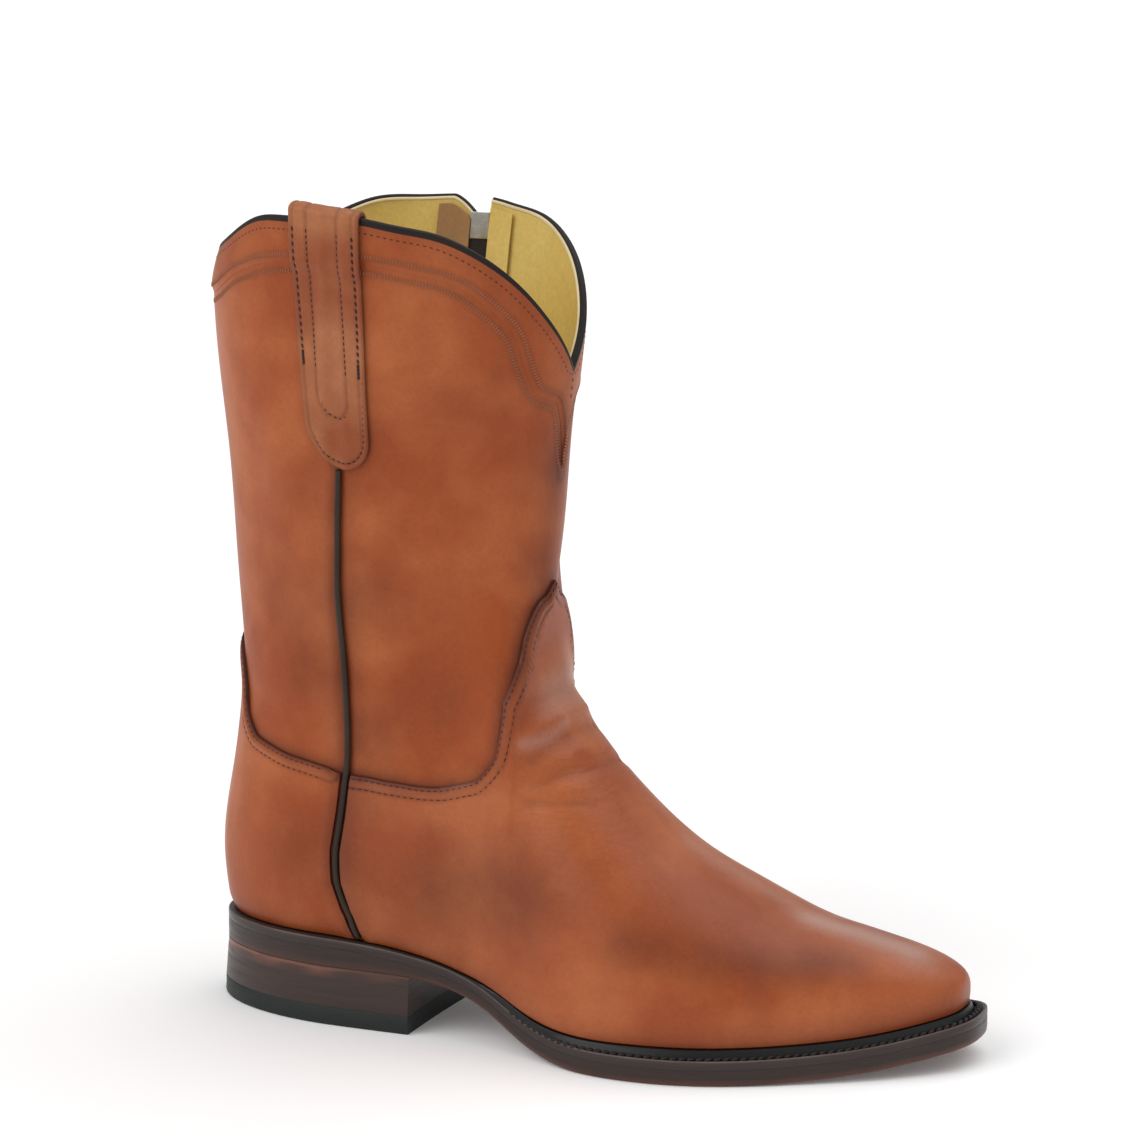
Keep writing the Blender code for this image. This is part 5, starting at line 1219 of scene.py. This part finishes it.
def strip(name, side_low, side_high, low, high, inside_out, outside_out, material, columns=16, rows=220):
    """A strip along the zip between two distances in mm from its middle line, plus towards the heel.

    Its rise runs from low to high, which may be a function of turn, so both are found by repetition.
    """
    share = np.linspace(0.0, 1.0, rows)[:, None]
    side = side_low + (side_high - side_low) * np.linspace(0.0, 1.0, columns)[None, :]
    rise = low + (0.9 - low) * share + 0.0 * side
    for _ in range(6):
        middle = np.radians(np.interp(rise, *ZIP_LINE.T))
        turn = middle + side / last_frame(middle, rise)[2]
        rise = low + ((high(turn) if callable(high) else high) - low) * share + 0.0 * side
    outside, inside, edges = shell_faces(np.ones((rows - 1, columns - 1), dtype=bool), False)
    points = [skin(turn, rise, out).reshape(-1, 3) for out in (outside_out, inside_out)]
    made = finish_mesh(name, np.vstack(points), np.vstack((outside, inside, edges)), [material], sharp=60.0)
    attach(made, "boot")
    return made


tape = strip("zip_tape", -ZIP_TAPE_WIDTH / 2.0, ZIP_TAPE_WIDTH / 2.0, ZIP_SLOT_FOOT_RISE - 5.0 * RISE_PER_MM,
             TAPE_TOP, TAPE_OUT - 0.8, TAPE_OUT, woven_finish("zip_tape_weave", (0.030, 0.022, 0.018, 1.0)))
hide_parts("zip_tape")
suede = leather("suede_facing", (0.36, 0.20, 0.09, 1.0), (0.45, 0.28, 0.14, 1.0), (0.18, 0.09, 0.04, 1.0),
                gloss=0.85, bump=0.7, coat=0.0)


def facing_top(turn):
    """The facings' upper edge, a little below the rim."""
    return line_rise(RIM, turn) - FACING_DROP * RISE_PER_MM


strip("zip_facing", *FACING_HEEL, FACING_FOOT_RISE, facing_top, TAPE_OUT - 1.8, TAPE_OUT - 0.95, suede)
strip("zip_facing_toe", *FACING_TOE, FACING_FOOT_RISE, facing_top, TAPE_OUT - 1.25, TAPE_OUT - 0.95,
      lining_leather)
coil_finish = plain_finish("coil_teeth", (0.055, 0.045, 0.040, 1.0), 0.32, grain=0.1)
coil_rise = np.linspace(ZIP_SLOT_FOOT_RISE + 1.5 * RISE_PER_MM, COIL_TOP, 500)
coil_turn = np.radians(np.interp(coil_rise, *ZIP_LINE.T))
coil_speed = last_frame(coil_turn, coil_rise)[2]
rows = [(coil_turn + side * 0.85 / coil_speed, coil_rise + phase * RISE_PER_MM,
         2.5, -0.95, 1.0, 1.7, 90.0, COIL_MIDDLE)
        for side, phase in ((-1.0, 0.0), (1.0, 0.78))]
teeth = stitched("zip_coil", rows, coil_finish, sides=8, stations=7)
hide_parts("zip_coil")
seam_rise = np.linspace(ZIP_SLOT_FOOT_RISE, ZIP_RIM_RISE - 6.0 * RISE_PER_MM, 500)
seam_mid = np.radians(np.interp(seam_rise, *ZIP_LINE.T))
seam_speed = last_frame(seam_mid, seam_rise)[2]
over_layers = np.where((seam_rise < 0.29) | (seam_rise > 0.945), OVERLAY_OUT - 0.1, BASE_OUT + 0.05)
rows = [(seam_mid + side * 7.4 / seam_speed, seam_rise, 2.1, 0.7, 0.55, 0.45, 0.0, over_layers)
        for side in (-1.0, 1.0)]
stitched("zip_stitches", rows, thread_finish)

nickel = plain_finish("nickel", (0.50, 0.49, 0.47, 1.0), 0.22, metallic=1.0, grain=0.01, scale=300.0,
                      shade=0.08)


def eased_copy(node, name, width, material, body):
    """A copy of a hard node with its facets merged and its edges rounded by a bevel."""
    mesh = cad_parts[node].data.copy()
    mesh.name = name
    made = bpy.data.objects.new(name, mesh)
    bpy.context.scene.collection.objects.link(made)
    weld = made.modifiers.new("weld", "WELD")
    weld.merge_threshold = 0.00001
    round_off = made.modifiers.new("round", "BEVEL")
    round_off.width = width
    round_off.segments = 2
    round_off.limit_method = "ANGLE"
    round_off.angle_limit = math.radians(35.0)
    mesh.materials.clear()
    mesh.materials.append(material)
    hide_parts(node)
    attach(made, body)
    return made


eased_copy("zip_slider", "zip_slider_metal", 0.00018, nickel, "boot")
eased_copy("zip_pull", "zip_pull_metal", 0.00018, nickel, "pull_tab")

# --- insole, welt and outsole
# The welt is a strip of dark stained leather sewn round the upper's foot. Its inner lip stands up against
# the leather, and a heavy black row runs along its shelf. The leather outsole below it has a waxed edge.
WELT_THICK = 3.6
SOLE_FLAT_TRIM = 0.04
SOLE_COLUMNS = 360
BLACK_WAX = (0.008, 0.007, 0.007, 1.0)
# how far the sole stands out beyond the last's foot: turn in degrees, mm
SOLE_MARGIN = np.array([
    (0.0, 2.0), (40.0, 2.6), (55.0, 2.8), (65.0, 2.0), (75.0, 0.8), (84.0, 0.8), (93.0, 1.8), (100.0, 4.0),
    (106.0, 5.2), (112.0, 5.8), (126.0, 6.1), (140.0, 5.6), (155.0, 6.0), (170.0, 7.0), (180.0, 7.0)])


def sole_margin(turn):
    """The sole's margin at a turn, the same on both sides: the mean of five readings of its table."""
    folded = np.degrees(np.abs((turn + math.pi) % (2.0 * math.pi) - math.pi))
    parts = [np.interp(folded + shift, *SOLE_MARGIN.T) for shift in (-3.0, -1.5, 0.0, 1.5, 3.0)]
    return sum(parts) / 5.0


def sole_loop(turn, grow):
    """Plan points round the foot, grow mm outside it along the level normal."""
    point, normal, _ = last_frame(turn, 0.0 * turn)
    flat = normal * (1.0, 1.0, 0.0)
    flat /= np.linalg.norm(flat, axis=1, keepdims=True)
    return (point + flat * np.broadcast_to(grow, turn.shape)[:, None])[:, :2]


def ground_z(x):
    """The height of the outsole's underside, flat on the floor under the forefoot."""
    return np.maximum(station(FOOT_STATIONS, 5, x) - SOLE_FLAT_TRIM, 0.0)


def edge_finish(name, colour, rubbed_colour, rough):
    """A waxed leather edge: fibres run along it, a warmer tone shows where it is rubbed, and black wax
    lies where the deep mask is.

    colour = mix(mix(mix(colour, 0.55 * colour, fibre noise), rubbed, rub mask * noise), black, deep mask).
    """
    made, shader = shader_of(name)
    add, join = nodes_of(made.node_tree)
    where = add("ShaderNodeTexCoord").outputs["Object"]
    flat = add("ShaderNodeMapping")
    flat.inputs["Scale"].default_value = (60.0, 60.0, 900.0)
    join(where, flat.inputs["Vector"])
    fibre = add("ShaderNodeTexNoise", Scale=1.0, Detail=4.0, Roughness=0.65)
    join(flat.outputs["Vector"], fibre.inputs["Vector"])
    soft = add("ShaderNodeTexNoise", Scale=45.0, Detail=3.0, Roughness=0.6)
    join(where, soft.inputs["Vector"])
    rub = add("ShaderNodeAttribute", attribute_name="rub")
    deep = add("ShaderNodeAttribute", attribute_name="deep")
    first = add("ShaderNodeMix", data_type="RGBA")
    first.inputs[6].default_value = colour
    first.inputs[7].default_value = tuple(0.55 * c for c in colour[:3]) + (1.0,)
    join(fibre.outputs["Fac"], first.inputs[0])
    second = add("ShaderNodeMix", data_type="RGBA")
    second.inputs[7].default_value = rubbed_colour
    join(first.outputs[2], second.inputs[6])
    part = add("ShaderNodeMath", operation="MULTIPLY", use_clamp=True)
    join(rub.outputs["Fac"], part.inputs[0])
    join(soft.outputs["Fac"], part.inputs[1])
    join(part.outputs[0], second.inputs[0])
    third = add("ShaderNodeMix", data_type="RGBA")
    third.inputs[7].default_value = BLACK_WAX
    join(deep.outputs["Fac"], third.inputs[0])
    join(second.outputs[2], third.inputs[6])
    join(third.outputs[2], shader.inputs["Base Color"])
    wear = add("ShaderNodeMapRange")
    for label, number in (("From Min", 0.3), ("From Max", 0.7), ("To Min", rough - 0.07),
                          ("To Max", rough + 0.1)):
        wear.inputs[label].default_value = number
    join(fibre.outputs["Fac"], wear.inputs["Value"])
    join(wear.outputs["Result"], shader.inputs["Roughness"])
    relief_node = add("ShaderNodeBump", Strength=0.35, Distance=0.0004)
    join(fibre.outputs["Fac"], relief_node.inputs["Height"])
    join(relief_node.outputs["Normal"], shader.inputs["Normal"])
    shader.inputs["Specular IOR Level"].default_value = 0.3
    return made


def plate(name, turn, levels, material, rub=None):
    """A plate from loops at rising levels, its two ends closed by strips across the foot.

    levels is a list of (grow in mm, height as a function of x). The closing strips are divided across,
    so the underside and the top stay smooth.
    """
    half = len(turn) // 2
    rings = []
    for grow, height in levels:
        loop = sole_loop(turn, grow)
        rings.append(np.column_stack((loop, height(loop[:, 0]))))
    count = len(turn)
    points = [np.vstack(rings)]
    faces = []
    i = np.arange(count)
    j = (i + 1) % count
    for k in range(len(rings) - 1):
        low, high = k * count, (k + 1) * count
        faces += np.stack((low + i, low + j, high + j, high + i), axis=1).tolist()
    total = len(rings) * count
    across = np.linspace(0.0, 1.0, 9)[1:-1]
    for level, height, turned in ((0, levels[0][1], True), (len(rings) - 1, levels[-1][1], False)):
        ring = rings[level]
        right, left = ring[1:half], ring[:half:-1]
        inner = right[:, None] + (left - right)[:, None] * across[None, :, None]
        inner[..., 2] = height(inner[..., 0])
        points.append(inner.reshape(-1, 3))
        cells = total + np.arange((half - 1) * len(across)).reshape(half - 1, len(across))
        rim_ids = level * count + np.arange(count)
        grid = np.hstack((rim_ids[1:half, None], cells, rim_ids[:half:-1][:, None]))
        quads = np.stack((grid[:-1, :-1], grid[1:, :-1], grid[1:, 1:], grid[:-1, 1:]), axis=-1)
        quads = quads.reshape(-1, 4).tolist()
        first = [[level * count, a, b] for a, b in zip(grid[0, :-1].tolist(), grid[0, 1:].tolist())]
        last = [[level * count + half, b, a] for a, b in zip(grid[-1, :-1].tolist(), grid[-1, 1:].tolist())]
        ends = quads + first + last
        faces += [f[::-1] for f in ends] if turned else ends
        total += inner.shape[0] * inner.shape[1]
    points = np.vstack(points)
    marks = {"rub": rub(points)} if rub else None
    made = finish_mesh(name, points, faces, [material], sharp=50.0, marks=marks)
    correct(made)
    return made


def correct(made):
    """Turn every face outwards."""
    work = bmesh.new()
    work.from_mesh(made.data)
    bmesh.ops.recalc_face_normals(work, faces=work.faces)
    work.to_mesh(made.data)
    work.free()


sole_turn = np.linspace(0.0, 2.0 * math.pi, SOLE_COLUMNS, endpoint=False)
margin = sole_margin(sole_turn)
welt_in = BASE_OUT - LEATHER_WALL - TUCK_DEPTH - 3.0
sole_edge = edge_finish("sole_edge", (0.040, 0.024, 0.020, 1.0), (0.13, 0.045, 0.028, 1.0), 0.36)
welt_edge = edge_finish("welt_edge", (0.044, 0.029, 0.025, 1.0), (0.16, 0.12, 0.105, 1.0), 0.34)


def under(shift):
    """The height of the outsole's upper side, shifted, as a function of the place along the foot."""
    return lambda x: feather_z(x) - WELT_THICK - 2.0 * FIT_GAP + shift


lip = lip_height(sole_loop(sole_turn, 0.0)[:, 0])
lip_out = np.minimum(OVERLAY_IN + 1.6, margin - 0.5)
lip_foot = np.minimum(lip_out + 1.4, margin - 0.25)
level = 0.0 * margin
# how far out, how high above the welt's underside, rubbed pale, stained black
welt_section = (
    (level + welt_in, -0.2, 0.0, 0.0), (margin - 0.6, -0.2, 0.0, 0.0), (margin - 0.06, 0.3, 0.0, 0.0),
    (margin, WELT_THICK * 0.5, 0.0, 0.0), (margin, WELT_THICK - 0.6, 0.2, 0.0),
    (margin - 0.2, WELT_THICK - 0.12, 1.3, 0.0), (margin - 0.6, WELT_THICK, 1.2, 0.0),
    (margin - 1.2, WELT_THICK - 0.25, 0.0, 0.9), (lip_foot, WELT_THICK - 0.5, 0.0, 1.0),
    (lip_out + 0.35, WELT_THICK + 0.65 * lip, 0.0, 1.0), (lip_out, WELT_THICK + lip, 0.0, 0.9),
    (0.5 * (lip_out + OVERLAY_IN), WELT_THICK + lip + 0.12, 0.0, 1.0),
    (level + OVERLAY_IN, WELT_THICK + lip, 0.0, 1.0), (level + OVERLAY_IN, WELT_THICK, 0.0, 1.0),
    (level + welt_in, WELT_THICK, 0.0, 1.0))
rings = []
for grow, height, rubbed_and_highlight, black in welt_section:
    loop = sole_loop(sole_turn, np.maximum(grow, welt_in))
    rings.append(np.column_stack((loop, under(FIT_GAP)(loop[:, 0]) + height, level + rubbed_and_highlight,
                                  level + black * ramp(66.0, 90.0, loop[:, 0]))))
rings = np.stack(rings, axis=1)
welt = swept("welt", rings[..., :3], welt_edge, closed=True, sharp=45.0,
             marks={"rub": rings[..., 3], "deep": rings[..., 4]})
correct(welt)
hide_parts("welt")
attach(welt, "boot")

# in front of the heel the outsole's lower edge is bevelled, and rubbed where it is
BEVEL_X = (52.0, 75.0)
bevel = ramp(*BEVEL_X, sole_loop(sole_turn, margin)[:, 0])


def sole_rub(points):
    """The outsole's rubbed line: a bell of the height above its underside, stronger along the bevel."""
    x, z = points[:, 0], points[:, 2]
    return (0.7 + 0.9 * ramp(*BEVEL_X, x)) * np.exp(-((z - ground_z(x)) / 1.3) ** 2)


edge_levels = [
    (margin - 0.2 - 1.1 * bevel, ground_z), (margin - 0.05 - 0.55 * bevel, lambda x: ground_z(x) + 0.25),
    (margin - 0.15 * bevel, lambda x: ground_z(x) + 0.8),
    (margin + 0.04, lambda x: 0.5 * (ground_z(x) + under(0.0)(x))), (margin, under(0.1)),
    (margin - 0.03, under(0.55)), (margin - 0.7, under(0.6))]
outsole = plate("outsole", sole_turn, edge_levels, sole_edge, rub=sole_rub)
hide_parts("outsole")
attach(outsole, "boot")
sock_lining = leather("sock_lining", (0.50, 0.34, 0.12, 1.0), (0.56, 0.40, 0.16, 1.0),
                      (0.25, 0.15, 0.05, 1.0), gloss=0.7, coat=0.0)
insole_levels = [(welt_in - 0.8, under(FIT_GAP)), (welt_in - 0.8, lambda x: feather_z(x) + 1.7),
                 (welt_in - 1.2, lambda x: feather_z(x) + 2.0)]
insole = plate("insole", sole_turn, insole_levels, sock_lining)
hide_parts("insole")
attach(insole, "boot")

# the row along the welt's shelf, in heavy black waxed thread, from the arch round the toe
rope_turn = np.radians(np.linspace(86.0, 274.0, 1600))
rope_thread = plain_finish("rope_thread", (0.014, 0.012, 0.012, 1.0), 0.30, grain=0.5, scale=2200.0)


def laid(name, loop, length, gap, width, height, lean, material):
    """Stitches that lie flat along a loop of points: the same bead as the upper's, its up way along Z."""
    up = np.array([0.0, 0.0, 1.0])
    run = run_of(loop)
    number = int(run[-1] / (length + gap))
    at = (np.arange(number) + 0.5) * run[-1] / number
    centre = along_path(at, run, loop)
    ahead = along_path(at + 0.5, run, loop) - along_path(at - 0.5, run, loop)
    ahead /= np.linalg.norm(ahead, axis=1, keepdims=True)
    cross = np.cross(up, ahead)
    cross /= np.linalg.norm(cross, axis=1, keepdims=True)
    first = ahead * math.cos(math.radians(lean)) + cross * math.sin(math.radians(lean))
    second = np.cross(up, first)
    along, aside, lift, walls, caps = thread_bead(7, 6, 0.4)
    points = (centre[:, None] + first[:, None] * (along[:, None] * length / 2.0)
              + second[:, None] * (aside[:, None] * width / 2.0) + up * (lift[:, None] * height / 2.0))
    faces = bead_faces(np.arange(number) * len(along), walls, caps)
    made = finish_mesh(name, points.reshape(-1, 3), faces, [material], sharp=80.0)
    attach(made, "boot")
    return made


rope_out = np.interp(rope_turn, sole_turn, 0.5 * (lip_foot + margin) - 0.75)
rope = np.column_stack((sole_loop(rope_turn, rope_out), 0.0 * rope_turn))
rope[:, 2] = under(FIT_GAP)(rope[:, 0]) + WELT_THICK + 0.05
laid("welt_stitches", rope, 3.4, -0.3, 1.9, 1.7, 30.0, rope_thread)

# --- stacked heel and rubber top lift
# Lifts of dark stained leather glued up, sanded flush and waxed, so only fine lines show between them. The
# rubber top lift is nailed and glued below, green-black, with a slightly ragged lower edge.
HEEL_LIFT_THICK = 7.0
HEEL_BREAST_X = 55.0
HEEL_FLARE = 1.2
LIFT_COUNT = 3
HEEL_GLUE = 0.04
RUB_LEVEL = 21.3


def heel_ring(grow, z, columns=60):
    """A D-shaped ring: the sole's margin round the heel up to the breast, which is drawn straight across."""
    probe = np.linspace(0.0, math.pi / 2.0, 400)
    ends = [float(np.interp(HEEL_BREAST_X, sole_loop(s * probe, sole_margin(s * probe) + grow)[:, 0], probe))
            for s in (1.0, -1.0)]
    share = np.linspace(0.0, 1.0, columns)
    lateral = share * ends[0]
    medial = -share[1:] * ends[1]
    turn = np.concatenate((lateral, medial[::-1]))
    side = sole_loop(turn, sole_margin(turn) + grow)
    a, b = side[columns - 1], side[columns]
    cut = np.linspace(0.0, 1.0, 26)[1:-1, None]
    breast = a + (b - a) * cut
    breast[:, 0] -= 0.9 * np.sin(math.pi * cut[:, 0])
    loop = np.vstack((side[:columns], breast, side[columns:]))
    height = z(loop[:, 0]) if callable(z) else np.full(len(loop), z)
    return np.column_stack((loop, height))


def heel_body(name, levels, material, node, rub=None):
    """Rings at rising levels joined, with both ends closed by rings shrinking to the middle."""
    rings = [heel_ring(grow, z) for grow, z in levels]
    for end, position in ((rings[0], 0), (rings[-1], len(rings))):
        middle = end.mean(axis=0)
        closing = [end + (middle - end) * s for s in (0.25, 0.5, 0.75, 0.97)]
        for ring in closing:
            ring[:, 2] = np.interp(ring[:, 0], np.sort(end[:, 0]), end[np.argsort(end[:, 0]), 2])
        rings = closing[::-1] + rings if position == 0 else rings + closing
    marks = {"rub": rub(np.vstack(rings))} if rub else None
    made = swept(name, np.stack(rings), material, sharp=40.0, marks=marks)
    correct(made)
    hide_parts(node)
    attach(made, "boot")
    return made


stack_finish = edge_finish("stack_edge", (0.056, 0.034, 0.029, 1.0), (0.24, 0.09, 0.058, 1.0), 0.36)
rubber_finish = plain_finish("top_lift_rubber", (0.015, 0.019, 0.018, 1.0), 0.5, grain=0.35, scale=1200.0,
                             shade=0.2)
low = HEEL_LIFT_THICK + HEEL_GLUE


def stack_top(x):
    """The heel's seat, just under the outsole."""
    return ground_z(x) - HEEL_GLUE


def lift_line(share, step):
    """The height of a line between two lifts, at a share of the stack's height, as a function of x."""
    return lambda x: low + (stack_top(x) - low) * share + step


def stack_rub(points):
    """The rubbed line between two lifts: a bell of height round RUB_LEVEL, fading towards the breast."""
    x, z = points[:, 0], points[:, 2]
    line = np.exp(-((z - RUB_LEVEL - 0.3 * np.sin(x / 4.0)) / 0.8) ** 2)
    return 1.5 * line * (0.35 + 0.65 * ramp(40.0, 10.0, x))


levels = [(HEEL_FLARE - 0.1, low), (HEEL_FLARE, low + 0.15)]
for k in range(1, LIFT_COUNT):
    share = k / LIFT_COUNT
    for step, sink in ((-0.25, 0.0), (0.0, -0.05), (0.25, 0.0)):
        levels.append((HEEL_FLARE * (1.0 - share) + sink, lift_line(share, step)))
levels += [(0.02, lambda x: stack_top(x) - 1.4), (0.0, lambda x: stack_top(x) - 0.7), (0.0, stack_top)]
heel_body("heel_stack", levels, stack_finish, "heel_stack", rub=stack_rub)
levels = [(HEEL_FLARE - 0.5, 0.0), (HEEL_FLARE + 0.05, 0.35), (HEEL_FLARE + 0.25, 1.0),
          (HEEL_FLARE + 0.1, 3.5), (HEEL_FLARE + 0.05, HEEL_LIFT_THICK - 0.3),
          (HEEL_FLARE - 0.2, HEEL_LIFT_THICK)]
heel_body("heel_lift", levels, rubber_finish, "heel_lift")

# --- the room
# A plain pale floor and soft light from broad far lamps and from all round. The camera stands where the
# photograph was taken from: place and lens were worked out from the boot's outline.
FLOOR_REACH = 6.0
FLOOR_GLOW = 0.07
floor_mesh = bpy.data.meshes.new("floor")
corners = [(x * FLOOR_REACH, y * FLOOR_REACH, 0.0) for x, y in ((-1, -1), (1, -1), (1, 1), (-1, 1))]
floor_mesh.from_pydata(corners, [], [(0, 1, 2, 3)])
floor = bpy.data.objects.new("floor", floor_mesh)
bpy.context.scene.collection.objects.link(floor)
floor_finish, floor_shader = shader_of("pale_floor")
floor_shader.inputs["Base Color"].default_value = (0.97, 0.97, 0.97, 1.0)
floor_shader.inputs["Roughness"].default_value = 0.6
floor_shader.inputs["Specular IOR Level"].default_value = 0.1
floor_shader.inputs["Emission Color"].default_value = (1.0, 1.0, 1.0, 1.0)
floor_shader.inputs["Emission Strength"].default_value = FLOOR_GLOW
floor_mesh.materials.append(floor_finish)
# the room's even light, and what the camera sees beyond it, which is plain white
ROOM_LIGHT = 0.5
world = bpy.data.worlds.new("room")
bpy.context.scene.world = world
world.use_nodes = True
add, join = nodes_of(world.node_tree)
seen = add("ShaderNodeMath", operation="MULTIPLY_ADD")
seen.inputs[1].default_value = 1.0 - ROOM_LIGHT
seen.inputs[2].default_value = ROOM_LIGHT
join(add("ShaderNodeLightPath").outputs["Is Camera Ray"], seen.inputs[0])
world.node_tree.nodes["Background"].inputs["Color"].default_value = (1.0, 1.0, 1.0, 1.0)
join(seen.outputs[0], world.node_tree.nodes["Background"].inputs["Strength"])


def soft_sun(name, towards, strength, spread):
    """A broad far light that comes from a direction, its disc spread over an angle in degrees."""
    light = bpy.data.lights.new(name, "SUN")
    light.energy = strength
    light.angle = math.radians(spread)
    made = bpy.data.objects.new(name, light)
    made.rotation_euler = Vector(towards).to_track_quat("Z", "Y").to_euler()
    bpy.context.scene.collection.objects.link(made)


soft_sun("key_light", (-0.75, -1.0, 0.95), 1.2, 50.0)
soft_sun("top_light", (0.3, 0.3, 1.0), 1.15, 60.0)
soft_sun("side_light", (1.0, -0.35, 0.45), 0.25, 60.0)

CAMERA_TURN = math.radians(23.74)
CAMERA_PITCH = math.radians(10.35)
CAMERA_PLACE = (0.63221, -1.20858, 0.41309)
CAMERA_LENS = 117.45
camera = bpy.data.objects.new("camera", bpy.data.cameras.new("camera"))
camera.data.sensor_width = 36.0
camera.data.lens = CAMERA_LENS
camera.location = CAMERA_PLACE
camera.rotation_euler = (math.pi / 2.0 - CAMERA_PITCH, 0.0, CAMERA_TURN)
bpy.context.scene.collection.objects.link(camera)
bpy.context.scene.camera = camera
bpy.context.scene.view_settings.view_transform = "Standard"
